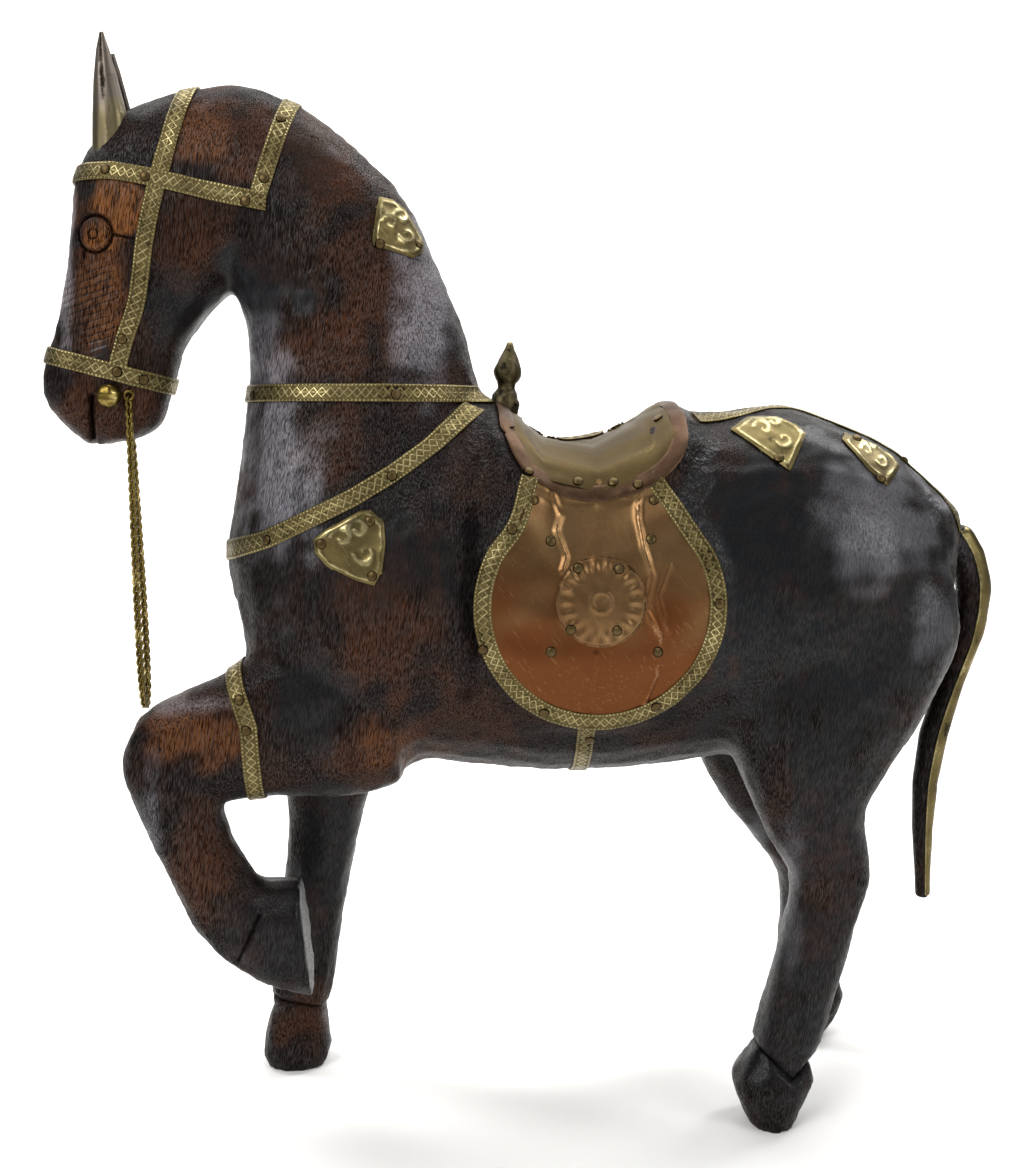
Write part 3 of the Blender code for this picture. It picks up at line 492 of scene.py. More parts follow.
def apply_modifier(piece: Piece, kind: str, **settings: object) -> None:
    """Adds a modifier with its settings and applies it.

    Args:
        piece: The piece.
        kind: The modifier's type name.
        settings: Its properties by name.
    """
    activate(piece)
    modifier = piece.modifiers.new(kind.lower(), kind)
    for name, value in settings.items():
        setattr(modifier, name, value)
    bpy.ops.object.modifier_apply(modifier=modifier.name)


def corners(piece: Piece) -> Array:
    """The piece's vertices as an array of rows.

    Args:
        piece: The piece.

    Returns:
        One place a row.
    """
    flat = np.empty(len(piece.data.vertices) * 3)
    piece.data.vertices.foreach_get("co", flat)
    return flat.reshape(-1, 3)


def set_corners(piece: Piece, points: Array) -> None:
    """Moves the piece's vertices."""
    piece.data.vertices.foreach_set("co", points.ravel())
    piece.data.update()


def corner_normals(piece: Piece) -> Array:
    """The unit normals at the piece's vertices.

    Args:
        piece: The piece.

    Returns:
        One direction a row.
    """
    flat = np.empty(len(piece.data.vertices) * 3)
    piece.data.vertex_normals.foreach_get("vector", flat)
    return flat.reshape(-1, 3)


def paint(piece: Piece, name: str, values: Array) -> None:
    """Stores one painted value for each vertex."""
    layer = piece.data.attributes.get(name) or piece.data.attributes.new(name, "FLOAT", "POINT")
    layer.data.foreach_set("value", np.clip(values, 0, 1).astype(np.float32))


@contextmanager
def all_selected(piece: Piece) -> Iterator[None]:
    """Edit mode on one piece with all of it selected.

    Args:
        piece: The piece.

    Yields:
        Nothing, while edit mode is on.
    """
    activate(piece)
    bpy.ops.object.mode_set(mode="EDIT")
    bpy.ops.mesh.select_all(action="SELECT")
    yield
    bpy.ops.object.mode_set(mode="OBJECT")


def merge_doubles(piece: Piece) -> None:
    """Joins the piece's vertices that share a place."""
    with all_selected(piece):
        bpy.ops.mesh.remove_doubles(threshold=SAME_POINT)


def shade_round(piece: Piece) -> None:
    """Shades a piece smooth all over."""
    activate(piece)
    bpy.ops.object.shade_smooth()


def smooth_shading(piece: Piece, angle: float = 40.0) -> None:
    """Shades a piece smooth, with its edges above the angle left sharp."""
    activate(piece)
    bpy.ops.object.shade_smooth_by_angle(angle=math.radians(angle))


def dress(piece: Piece, finish: Finish, slot: str, *nodes: str) -> Piece:
    """Gives a finished piece its material and its place in the frame.

    Args:
        piece: The piece.
        finish: Its finish.
        slot: The record's material slot; not used.
        nodes: The nodes that it stands for.

    Returns:
        The piece.
    """
    piece.data.materials.clear()
    piece.data.materials.append(finish.material())
    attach(piece, BODY)
    if nodes:
        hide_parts(*nodes)
    LOG.info("%s: %d faces", piece.name, len(piece.data.polygons))
    return piece


def dress_metal(piece: Piece, wear: Array, finish: Finish, slot: str, *nodes: str) -> None:
    """Paints a solid metal piece's wear, shades it smooth and dresses it.

    Args:
        piece: The piece.
        wear: How worn each vertex is.
        finish: Its finish.
        slot: The record's material slot.
        nodes: The nodes that it stands for.
    """
    paint(piece, "worn", wear)
    paint(piece, "tinting", np.zeros(len(wear)))
    shade_round(piece)
    dress(piece, finish, slot, *nodes)


def copy_node(node: str, name: str) -> Piece:
    """A copy of a node with its loose triangles joined, as the start of a finer piece.

    Args:
        node: The node's name.
        name: The new piece's name.

    Returns:
        The new piece.
    """
    made = bpy.data.objects.new(name, frame["nodes"][node].data.copy())
    bpy.context.scene.collection.objects.link(made)
    made.data.materials.clear()
    merge_doubles(made)
    return made


def spline(points: Array, spacing: float, closed: bool = False) -> Array:
    """A smooth curve through points, as evenly spaced points.

    Args:
        points: The points to pass through, one a row.
        spacing: The distance between the results.
        closed: Whether the curve returns to its start.

    Returns:
        The curve's points, one a row.
    """
    points = np.asarray(points, float)
    count = len(points)
    share = np.linspace(0, 1, 12, endpoint=False)[:, None]
    pieces = []
    for i in range(count if closed else count - 1):
        pick = [(i + k) % count if closed else min(max(i + k, 0), count - 1) for k in (-1, 0, 1, 2)]
        a, b, c, d = points[pick]
        pieces.append(b + 0.5 * share * (c - a + share * (2 * a - 5 * b + 4 * c - d
                                                          + share * (3 * (b - c) + d - a))))
    pieces.append(points[:1] if closed else points[-1:])
    return even(np.concatenate(pieces), spacing)


def lengths(points: Array) -> Array:
    """The length along a polyline at each of its points."""
    return np.concatenate([[0], np.cumsum(np.linalg.norm(np.diff(points, axis=0), axis=1))])


def even_marks(run: Array, spacing: float) -> Array:
    """Lengths at about an even spacing, from nought to the last of a run of lengths."""
    return np.linspace(0, run[-1], max(int(round(run[-1] / spacing)), 2) + 1)


def even(points: Array, spacing: float) -> Array:
    """Points at an even spacing along a polyline.

    Args:
        points: The polyline's places, one a row.
        spacing: The wanted distance.

    Returns:
        The places, one a row.
    """
    run = lengths(points)
    wanted = even_marks(run, spacing)
    return np.stack([np.interp(wanted, run, column) for column in points.T], axis=1)


def sideways(line: Array) -> Array:
    """Unit vectors across a flat line, on its left.

    Args:
        line: The line's places, one a row.

    Returns:
        One direction a row.
    """
    along = np.gradient(line, axis=0)
    along /= np.linalg.norm(along, axis=1)[:, None]
    return np.stack([-along[:, 1], along[:, 0]], axis=1)


def line_distance(points: Array, line: Array) -> Array:
    """The distance of flat points from a flat polyline.

    Args:
        points: The places to measure from, one a row.
        line: The polyline's places, one a row.

    Returns:
        One distance for each place.
    """
    best = np.full(len(points), np.inf)
    for start, end in zip(line, line[1:]):
        edge = end - start
        share = np.clip((points - start) @ edge / max(edge @ edge, 1e-18), 0, 1)
        best = np.minimum(best, np.linalg.norm(points - start - share[:, None] * edge, axis=1))
    return best


def bell(distance: Array, width: float) -> Array:
    """A bell of height one whose half-width is about the given width."""
    return np.exp(-(distance / width) ** 2)


def step(value: Array, low: float, high: float) -> Array:
    """A smooth step of an array between two limits."""
    share = np.clip((value - low) / (high - low), 0, 1)
    return share * share * (3 - 2 * share)


def ripple(points: Array, size: float, seed: int, waves: int = 14) -> Array:
    """Gentle unevenness of about unit height, as a sum of waves in random directions.

    Args:
        points: Places in metres, in the last axis.
        size: The usual length of a wave in metres.
        seed: The seed of the directions.
        waves: How many waves are summed.

    Returns:
        One value for each place.
    """
    draw = np.random.default_rng(seed)
    total = np.zeros(points.shape[:-1])
    for _ in range(waves):
        direction = draw.normal(size=3)
        direction *= math.tau / (size * draw.uniform(0.6, 1.6) * np.linalg.norm(direction))
        total += np.sin(points @ direction + draw.uniform(0, math.tau))
    return total / math.sqrt(waves / 2)


@dataclass(frozen=True)
class PhotoCamera:
    """The photograph's viewing angle, and its pixels on a frame of 1035 by 1168."""

    drawing: "Drawing"
    stand: Spot = (-0.0380, -0.5434, 0.2642)
    tilt: float = math.radians(83.7)
    turn: float = math.radians(-4.0)
    width: int = 1035
    height: int = 1168
    focus: float = 1395.0
    sensor: float = 36.0

    @property
    def place(self) -> Spot:
        """The camera's place in the frame."""
        return (self.stand[0] + self.drawing.shift, *self.stand[1:])

    def turned(self) -> Matrix:
        """The camera's rotation."""
        return Euler((self.tilt, 0, self.turn)).to_matrix()

    def build(self) -> None:
        """Makes the camera and hands it to the scene."""
        data = bpy.data.cameras.new("photo_camera")
        data.sensor_width = self.sensor
        data.lens = self.focus * self.sensor / self.height
        made = bpy.data.objects.new("photo_camera", data)
        made.location = self.place
        made.rotation_euler = (self.tilt, 0, self.turn)
        bpy.context.scene.collection.objects.link(made)
        bpy.context.scene.camera = made

    def pixels(self, points: Array) -> Array:
        """The pixel of each place, with the right side mirrored onto the left.

        Args:
            points: Places in the frame, one a row.

        Returns:
            Pixel x and y, one pair a row.
        """
        near = points.copy()
        near[:, 1] = -np.abs(near[:, 1])
        seen = (near - self.place) @ np.array(self.turned())
        return np.stack([self.width / 2 - self.focus * seen[:, 0] / seen[:, 2],
                         self.height / 2 + self.focus * seen[:, 1] / seen[:, 2]], axis=1)

    def ray(self, x: float, y: float) -> Vector:
        """The direction from the camera through a pixel."""
        local = Vector(((x - self.width / 2) / self.focus, (self.height / 2 - y) / self.focus, -1))
        return (self.turned() @ local).normalized()


@dataclass
class Drawing:
    """Places drawn in millimetres, with x from the carver's mark, taken to the frame."""

    disc_place: Pair = (26.5, 203)
    shift: float = 0.0

    def __post_init__(self) -> None:
        """Finds the mark in the frame from the flap's disc."""
        low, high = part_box("flap_disc_left")
        self.shift = (low.x + high.x) / 2 - self.disc_place[0] * MM

    def places(self, line: Line) -> Array:
        """Drawn places in the frame, one a row."""
        return np.array(line, float) * MM + [self.shift, 0]

    def place(self, spot: Pair) -> Array:
        """One drawn place in the frame."""
        return self.places((spot,))[0]


@dataclass
class CarvedSurface:
    """The carved wood as something to lay metal on."""

    tree: BVHTree
    saddle_axis: float = 0.228
    far: float = 0.4

    def cast(self, origins: Array, rays: Array) -> Array:
        """Where rays meet the wood.

        Args:
            origins: Where each ray starts, one a row.
            rays: The rays' directions, one a row.

        Returns:
            The places met, with a missed one taken from its neighbour before.
        """
        found, last = np.empty((len(origins), 3)), None
        for i, (origin, ray) in enumerate(zip(origins, rays)):
            hit = self.tree.ray_cast(Vector(origin), Vector(ray))[0]
            last = hit if hit is not None else last
            found[i] = last if last is not None else np.nan
        missed = np.isnan(found[:, 0])
        if missed.any():
            found[missed] = found[~missed][0]
        return found

    def laid(self, flat: Array, view: View, side: Side) -> Array:
        """Lays flat places on the wood.

        Args:
            flat: Places in the view's own two directions, one a row.
            view: SIDE takes x and z, TOP takes x and y, SADDLE takes x and an angle from the top.
            side: The side that a side view is laid on.

        Returns:
            Places on the wood, one a row.
        """
        count = len(flat)
        if view is View.SIDE:
            origins = np.stack([flat[:, 0], np.full(count, side.value * self.far), flat[:, 1]], axis=1)
            rays = np.tile([0.0, -side.value, 0.0], (count, 1))
        elif view is View.TOP:
            origins = np.stack([flat[:, 0], flat[:, 1], np.full(count, self.far)], axis=1)
            rays = np.tile([0.0, 0.0, -1.0], (count, 1))
        else:
            origins = np.stack([flat[:, 0], np.zeros(count), np.full(count, self.saddle_axis)], axis=1)
            rays = np.stack([np.zeros(count), np.sin(flat[:, 1]), np.cos(flat[:, 1])], axis=1)
        return self.cast(origins, rays)

    def around(self, line: Array, inside: Spot, keep: Callable[[Array], Array],
               offsets: Array, spacing: float) -> Array:
        """Lays a band round a limb, where a drawn line crosses it.

        Args:
            line: The drawn line in x and z.
            inside: A place inside the limb.
            keep: Says which places of the full loop the band covers.
            offsets: The distances of the band's columns from its line.
            spacing: The distance between its rows.

        Returns:
            Places on the wood by row and column. A full loop ends where it starts.
        """
        centre = np.array(inside)
        chord = (line[-1] - line[0]) / np.linalg.norm(line[-1] - line[0])
        along = np.array([chord[0], 0, chord[1]])
        across = np.array([-chord[1], 0, chord[0]])
        reaches = (line - centre[[0, 2]]) @ chord
        off = (line - centre[[0, 2]]) @ [-chord[1], chord[0]]
        turns = np.linspace(0, math.tau, 540, endpoint=False)
        rays = np.cos(turns)[:, None] * along + np.sin(turns)[:, None] * [0, 1, 0]
        reach = np.zeros(len(turns))
        for _ in range(3):
            hits = self.cast(centre + np.interp(reach, reaches, off)[:, None] * across, rays)
            reach = (hits - centre) @ along
        kept = keep(hits)
        full = bool(kept.all())
        if full:
            order = np.arange(len(turns) + 1) % len(turns)
        else:
            first = int(np.flatnonzero(kept & ~np.roll(kept, 1))[0])
            order = (first + np.arange(len(turns))) % len(turns)
            order = order[:int(np.argmin(kept[order])) or len(order)]
        run = lengths(hits[order])
        wanted = even_marks(run, spacing)
        turn = np.interp(wanted, run, np.unwrap(turns[order]))
        offset = np.interp(np.interp(wanted, run, reach[order]), reaches, off)
        rays = np.cos(turn)[:, None] * along + np.sin(turn)[:, None] * [0, 1, 0]
        columns = [self.cast(centre + (offset + v)[:, None] * across, rays) for v in offsets]
        points = np.stack(columns, axis=1)
        if full:
            points[-1] = points[0]
        return points


def grid_normals(points: Array, outward: Array) -> Array:
    """Unit normals of a grid of places, turned to the outward side.

    Args:
        points: Places by row and column.
        outward: Directions away from what the grid lies on.

    Returns:
        One direction for each place.
    """
    normals = np.cross(np.gradient(points, axis=0), np.gradient(points, axis=1))
    normals /= np.linalg.norm(normals, axis=2)[:, :, None] + 1e-12
    normals *= np.where((normals * outward).sum(axis=2) < 0, -1.0, 1.0)[:, :, None]
    return normals


def soften(points: Array, passes: int) -> Array:
    """Evens out a grid of places along its rows, as sheet metal does over wood.

    Args:
        points: Places by row and column.
        passes: How often they are evened out.

    Returns:
        The same places, moved.
    """
    for _ in range(passes):
        points[1:-1] = (points[:-2] + 2 * points[1:-1] + points[2:]) / 4
    return points


@dataclass
class Sheet:
    """One piece of sheet metal, as a grid laid on the wood and given its thickness."""

    name: str
    points: Array
    relief: Array
    flat: Array
    inside: Spot | Array
    lift: float = 0.9 * MM
    thickness: float = 1.2 * MM
    tinting: Array | None = None
    wear: Array | None = None
    closed: bool = False

    def build(self) -> Piece:
        """Makes the sheet as a closed mesh.

        Returns:
            The sheet.
        """
        outward = self.points - np.array(self.inside)
        normals = grid_normals(self.points, outward)
        points = self.points + normals * (self.lift + self.relief)[:, :, None]
        wear = self.wear if self.wear is not None else 0.5 + self.relief / (0.3 * MM)
        tinting = self.tinting if self.tinting is not None else np.zeros(self.relief.shape)
        facing = np.cross(points[1:, :-1] - points[:-1, :-1], points[:-1, 1:] - points[:-1, :-1])
        flip = (facing * outward[:-1, :-1]).sum() > 0
        layers = [points, self.flat, wear, tinting]
        points, flat, wear, tinting = (layer[:, ::-1] if flip else layer for layer in layers)
        rows, columns = wear.shape
        deselect()
        bpy.ops.mesh.primitive_grid_add(x_subdivisions=columns - 1, y_subdivisions=rows - 1, size=2)
        made = bpy.context.object
        made.name = made.data.name = f"{self.name}_sheet"
        start = corners(made)
        column = np.rint((start[:, 0] + 1) / 2 * (columns - 1)).astype(int)
        row = np.rint((start[:, 1] + 1) / 2 * (rows - 1)).astype(int)
        set_corners(made, points[row, column])
        paint(made, "worn", wear[row, column])
        paint(made, "tinting", tinting[row, column])
        owner = np.empty(len(made.data.loops), int)
        made.data.loops.foreach_get("vertex_index", owner)
        made.data.uv_layers.active.data.foreach_set("uv", flat[row, column][owner].ravel())
        if self.closed:
            merge_doubles(made)
        apply_modifier(made, "SOLIDIFY", thickness=self.thickness, offset=-1)
        smooth_shading(made)
        return made


@dataclass
class Smith:
    """Lays straps and panels on the wood."""

    surface: CarvedSurface
    drawing: Drawing
    spacing: float = 0.5 * MM
    columns: int = 13
    pattern_width: float = 6.4 * MM
    made: list = field(default_factory=list)

    def fit(self, sheet: Sheet, finish: Finish, slot: str) -> None:
        """Makes and dresses a sheet, and remembers it as one that nails go through."""
        self.made.append(dress(sheet.build(), finish, slot, sheet.name))

    def strap(self, name: str, points: Array, width: float, inside: Spot,
              finish: Finish, slot: str, lift: float = 0.9 * MM, closed: bool = False,
              plain: bool = False) -> None:
        """Makes a stamped strap from places on the wood.

        Args:
            name: The piece's and the node's name.
            points: Places on the wood by row and column.
            width: The strap's width.
            inside: A place inside what it lies on.
            finish: The metal.
            slot: The record's material slot.
            lift: The height of its face above the wood.
            closed: Whether it is a full loop.
            plain: Whether it carries no stamping.
        """
        points = soften(points, 6)
        run = lengths(points[:, points.shape[1] // 2])
        across = np.linspace(-width / 2, width / 2, points.shape[1])
        run, across = np.meshgrid(run, across, indexing="ij")
        edge = bell(np.abs(across) - width / 2, 0.3 * MM)
        seed = sum(map(ord, name))
        relief = 0.08 * MM * ripple(points, 11 * MM, seed) - 0.25 * MM * edge
        # The rolled edges are painted brighter: worn brass and a painted highlight.
        wear = 0.46 + 0.05 * ripple(points, 17 * MM, seed + 1) + (0.15 if plain else 0.35) * edge
        flat = np.stack([run, across * self.pattern_width / width], axis=2)
        sheet = Sheet(name, points, relief, flat, inside, lift, wear=wear, closed=closed)
        self.fit(sheet, finish, slot)

    def offsets(self, width: float) -> Array:
        """The distances of a strap's columns from its line."""
        return np.linspace(-width / 2, width / 2, self.columns)

    def loop(self, name: str, line: Line, width: float, inside: Spot,
             keep: Callable[[Array], Array], finish: Finish = STAMPED_BRASS, slot: str = "brass",
             lift: float = 0.9 * MM) -> None:
        """Makes a strap that goes round a limb.

        Args:
            name: The strap's name.
            line: Its drawn line.
            width: Its width.
            inside: A place inside the limb.
            keep: Says which places of the full loop it covers.
            finish: The metal.
            slot: The record's material slot.
            lift: The height of its face above the wood.
        """
        drawn = self.drawing.places(line)
        points = self.surface.around(drawn, inside, keep, self.offsets(width), self.spacing)
        closed = bool(np.allclose(points[0], points[-1]))
        self.strap(name, points, width, inside, finish, slot, lift, closed)

    def ribbon(self, name: str, flat: Array, width: float, view: View, side: Side,
               inside: Spot, finish: Finish = STAMPED_BRASS, slot: str = "brass",
               lift: float = 0.9 * MM) -> None:
        """Makes a strap along a line in one view.

        Args:
            name: The strap's name.
            flat: Evenly spaced places of its line in the view.
            width: Its width.
            view: The view.
            side: The side that it is on.
            inside: A place inside what it lies on.
            finish: The metal.
            slot: The record's material slot.
            lift: The height of its face above the wood.
        """
        off = sideways(flat)
        columns = [self.surface.laid(flat + v * off, view, side) for v in self.offsets(width)]
        self.strap(name, np.stack(columns, axis=1), width, inside, finish, slot, lift)

    def panel(self, outline: Array, centre: Array, count: int, view: View,
              side: Side) -> tuple[Array, Array, Array]:
        """Lays a grid inside an outline on the wood.

        Args:
            outline: The outline in the view, closed by its first point.
            centre: A place inside it that sees all of it.
            count: How many cells the grid has each way.
            view: The view.
            side: The side that it is on.

        Returns:
            Places on the wood, flat places in the view, and the share of the way to the outline.
        """
        u, v = np.meshgrid(np.linspace(-1, 1, count + 1), np.linspace(-1, 1, count + 1), indexing="ij")
        x, y = u * np.sqrt(1 - v * v / 2), v * np.sqrt(1 - u * u / 2)
        share = np.hypot(x, y)
        turn = np.arctan2(y, x)
        bound = radius_at(outline - centre, turn.ravel()).reshape(turn.shape)
        radius = share * bound
        flat = centre + np.stack([radius * np.cos(turn), radius * np.sin(turn)], axis=2)
        points = self.surface.laid(flat.reshape(-1, 2), view, side).reshape(*flat.shape[:2], 3)
        return points, flat, share


def radius_at(outline: Array, turns: Array) -> Array:
    """How far an outline lies from its middle in each direction.

    Args:
        outline: The outline about its middle, one place a row.
        turns: Directions in radians.

    Returns:
        One distance for each direction.
    """
    rays = np.stack([np.cos(turns), np.sin(turns)], axis=1)
    best = np.zeros(len(turns))
    for start, end in zip(outline, np.roll(outline, -1, axis=0)):
        edge = end - start
        base = rays[:, 0] * edge[1] - rays[:, 1] * edge[0]
        base = np.where(np.abs(base) < 1e-15, 1e-15, base)
        reach = (start[0] * edge[1] - start[1] * edge[0]) / base
        share = (start[0] * rays[:, 1] - start[1] * rays[:, 0]) / base
        hit = (reach > 0) & (share >= -1e-6) & (share <= 1 + 1e-6)
        best = np.where(hit, np.maximum(best, reach), best)
    return best


@dataclass(frozen=True)
class Patch:
    """A painted area of the wood, by the photograph's pixels: middle, half sizes and strength."""

    x: float
    y: float
    wide: float
    high: float
    strength: float


PAINTED = ("worn", "red", "blue", "dust", "tooled", "chiselled", "dark")


@dataclass
class CarvedHorse:
    """The wooden figure, smoothed from its solid and given its fine carving and its worn stain."""

    camera: PhotoCamera
    drawing: Drawing
    voxel: float = 1.8 * MM
    passes: int = 21
    eye_reach: float = 9.5 * MM
    line_reach: float = 3 * MM
    coronet_reach: float = 2.5 * MM
    inner: float = 4 * MM
    eye: Pair = (-155.1, 335)
    eye_radius: float = 6.6
    tear_line: Line = ((-159.5, 330), (-160.1, 324))
    eye_corner: Line = ((-148.8, 334.7), (-140.9, 333))
    mouth: Line = ((-158.6, 276.5), (-160.8, 250))
    coronets: tuple[tuple[Side, Line], ...] = (
        (Side.LEFT, ((83.9, 34.1), (100.7, 21.2), (108.7, 25.3))),
        (Side.RIGHT, ((-99.6, 30.3), (-77.9, 25.3))),
        (Side.LEFT, ((-98.7, 86.0), (-107.3, 66.8))),
        (Side.RIGHT, ((138.4, 24.2), (143.7, 27.2))),
    )
    patches: tuple[tuple[str, tuple[Patch, ...]], ...] = (
        ("worn", (Patch(116, 205, 26, 28, 0.9), Patch(95, 234, 16, 16, 0.85),
                  Patch(98, 300, 24, 40, 0.4), Patch(205, 140, 30, 26, 0.35),
                  Patch(190, 735, 40, 22, 0.35), Patch(385, 750, 24, 18, 0.3))),
        ("red", (Patch(225, 135, 50, 40, 0.9), Patch(320, 160, 44, 50, 0.7),
                 Patch(190, 240, 40, 50, 0.5), Patch(380, 290, 50, 60, 0.6),
                 Patch(95, 290, 36, 70, 0.8), Patch(105, 415, 50, 30, 0.7),
                 Patch(330, 350, 50, 40, 0.6), Patch(330, 450, 40, 40, 0.5),
                 Patch(380, 620, 50, 60, 0.7), Patch(375, 752, 50, 30, 0.7),
                 Patch(190, 730, 50, 36, 0.8), Patch(200, 860, 30, 60, 0.6),
                 Patch(470, 720, 60, 30, 0.5), Patch(700, 640, 40, 50, 0.4),
                 Patch(300, 1045, 26, 30, 0.6), Patch(820, 880, 30, 70, 0.4))),
        # Partly dust, partly painted sheen on the neck, breast, front of the face and hip.
        ("dust", (Patch(425, 310, 30, 76, 0.8), Patch(282, 465, 32, 84, 0.8),
                  Patch(262, 350, 20, 50, 0.4), Patch(65, 270, 9, 80, 0.8),
                  Patch(880, 515, 50, 60, 0.45), Patch(935, 615, 18, 50, 0.3),
                  Patch(150, 830, 12, 60, 0.35), Patch(185, 705, 40, 9, 0.4),
                  Patch(790, 900, 10, 80, 0.25), Patch(945, 500, 10, 14, 1.0))),
        ("blue", (Patch(245, 290, 34, 40, 1.0), Patch(304, 302, 12, 12, 1.0),
                  Patch(100, 352, 9, 9, 1.0), Patch(760, 520, 70, 60, 0.9),
                  Patch(840, 660, 60, 50, 0.8), Patch(740, 610, 54, 80, 1.0),
                  Patch(310, 700, 36, 50, 0.8), Patch(180, 310, 30, 40, 0.7),
                  Patch(330, 860, 30, 60, 0.9), Patch(830, 800, 44, 90, 0.8),
                  Patch(850, 590, 130, 170, 0.8), Patch(800, 960, 50, 90, 0.7),
                  Patch(290, 930, 60, 60, 0.6), Patch(350, 560, 130, 60, 0.35),
                  Patch(420, 560, 40, 40, 0.6), Patch(300, 170, 30, 40, 0.5),
                  Patch(770, 1060, 40, 50, 0.6))),
        ("tooled", (Patch(480, 430, 14, 60, 1.0), Patch(470, 520, 20, 60, 0.8),
                    Patch(690, 460, 20, 40, 1.0), Patch(945, 500, 16, 20, 1.0))),
        ("chiselled", (Patch(88, 305, 26, 44, 1.0),)),
        # Painted shade: a dark strip in front of the saddle, standing for the shade of its carved step.
        ("dark", (Patch(470, 590, 12, 100, 0.6),)),
    )

    def build(self) -> None:
        """Smooths the solid, keeps its surface for the metal, and carves and paints it."""
        made = copy_node("wooden_horse", "carved_horse")
        apply_modifier(made, "REMESH", mode="VOXEL", voxel_size=self.voxel)
        self.smooth(made)
        self.surface = CarvedSurface(tree_of(made))
        self.refine(made)
        self.carve(made)
        self.stain(made)
        shade_round(made)
        dress(made, WOOD, "wood", "wooden_horse")

    def smooth(self, piece: Piece) -> None:
        """Washes out the solid's facets without shrinking the limbs.

        Args:
            piece: The wooden figure.
        """
        points = corners(piece)
        sole = points[:, 2] < 0.4 * MM
        edges = np.empty(len(piece.data.edges) * 2, int)
        piece.data.edges.foreach_get("vertices", edges)
        first, second = edges.reshape(-1, 2).T
        count = len(points)
        valence = np.bincount(first, minlength=count) + np.bincount(second, minlength=count)
        raised = (points[:, 0] < -0.075) & (points[:, 1] < -0.008) & (points[:, 2] < 0.1)
        ease = (np.where(raised, 0.0, step(points[:, 2], 0.04, 0.06)) * 0.9 + 0.1)[:, None]
        for i in range(2 * self.passes):
            totals = [np.bincount(first, points[second, k], count)
                      + np.bincount(second, points[first, k], count) for k in range(3)]
            middle = np.stack([total / valence for total in totals], axis=1)
            points += (0.6 if i % 2 == 0 else -0.61) * ease * (middle - points)
        points[:, 2] = np.maximum(points[:, 2], 0)
        points[sole, 2] = 0
        set_corners(piece, points)

    def refine(self, piece: Piece) -> None:
        """Divides the faces finer round the eyes, the mouth and the hooves' upper edges.

        Args:
            piece: The wooden figure.
        """
        eye = self.drawing.place(self.eye)
        middles = np.empty(len(piece.data.polygons) * 3)
        piece.data.polygons.foreach_get("center", middles)
        middles = middles.reshape(-1, 3)
        flat = middles[:, [0, 2]]
        near = np.linalg.norm(flat - eye, axis=1) < self.eye_reach
        for line in (self.eye_corner, self.mouth):
            near |= line_distance(flat, self.drawing.places(line)) < self.line_reach
        for side, line in self.coronets:
            ledge = line_distance(flat, self.drawing.places(line)) < self.coronet_reach
            near |= ledge & (middles[:, 1] * side.value > self.inner)
        activate(piece)
        for parts in (piece.data.vertices, piece.data.edges):
            parts.foreach_set("select", np.zeros(len(parts), bool))
        piece.data.polygons.foreach_set("select", near)
        bpy.ops.object.mode_set(mode="EDIT")
        bpy.ops.mesh.select_mode(type="FACE")
        bpy.ops.mesh.subdivide(number_cuts=2)
        bpy.ops.object.mode_set(mode="OBJECT")

    def carve(self, piece: Piece) -> None:
        """Cuts the eyes, their lines and the scraped unevenness.

        Args:
            piece: The wooden figure.
        """
        points, normals = corners(piece), corner_normals(piece)
        flat = points[:, [0, 2]]
        eye = self.drawing.place(self.eye)
        radius = np.linalg.norm(flat - eye, axis=1) / MM
        outer = step(np.abs(points[:, 1]), self.inner, 2 * self.inner)
        ball = self.eye_radius - 0.8
        height = -1.1 * bell(radius - self.eye_radius, 0.62)
        height += 0.9 * np.sqrt(np.clip(1 - (radius / ball) ** 2, 0, 1))
        height -= 0.35 * bell(radius - 1.7, 0.36)
        for line in (self.tear_line, self.eye_corner):
            height -= 0.75 * bell(line_distance(flat, self.drawing.places(line)) / MM, 0.5)
        height *= outer
        mouth = line_distance(flat, self.drawing.places(self.mouth)) / MM
        height -= 2.2 * bell(mouth, 0.95)
        # Mask of the grooves, which are later painted near black as painted shade.
        cut = np.maximum(bell(radius - self.eye_radius, 0.8), bell(radius - 1.7, 0.4))
        for line in (self.tear_line, self.eye_corner):
            cut = np.maximum(cut, bell(line_distance(flat, self.drawing.places(line)) / MM, 0.6))
        self.cut = np.maximum(cut * outer, bell(mouth, 1.1))
        for side, line in self.coronets:
            near = line_distance(flat, self.drawing.places(line)) / MM
            this = points[:, 1] * side.value > self.inner
            height -= 1.3 * bell(near, 1.3) * this
            self.cut = np.maximum(self.cut, 0.8 * bell(near, 0.8) * this)
        height += 0.10 * ripple(points, 8 * MM, 3, 24) + 0.05 * ripple(points, 3.5 * MM, 4, 24)
        height[points[:, 2] < 2 * MM] = 0
        set_corners(piece, points + normals * (height * MM)[:, None])

    def stain(self, piece: Piece) -> None:
        """Paints wear, red wood, blue stain, dust and sheen, tool marks, and shade in the grooves.

        Args:
            piece: The wooden figure.
        """
        points = corners(piece)
        pixels = self.camera.pixels(points)
        layers = {name: np.zeros(len(points)) for name in PAINTED}
        # Painted shade in the cut grooves.
        layers["dark"] = self.cut.copy()
        ragged = 0.22 * ripple(points, 14 * MM, 5, 24)
        for name, areas in self.patches:
            soft = 1.1 if name == "dust" else 0.8
            for patch in areas:
                reach = np.hypot((pixels[:, 0] - patch.x) / patch.wide, (pixels[:, 1] - patch.y) / patch.high)
                amount = patch.strength * step(1.45 - reach + ragged, 0, soft)
                layers[name] = 1 - (1 - layers[name]) * (1 - amount)
        for name, values in layers.items():
            paint(piece, name, values)


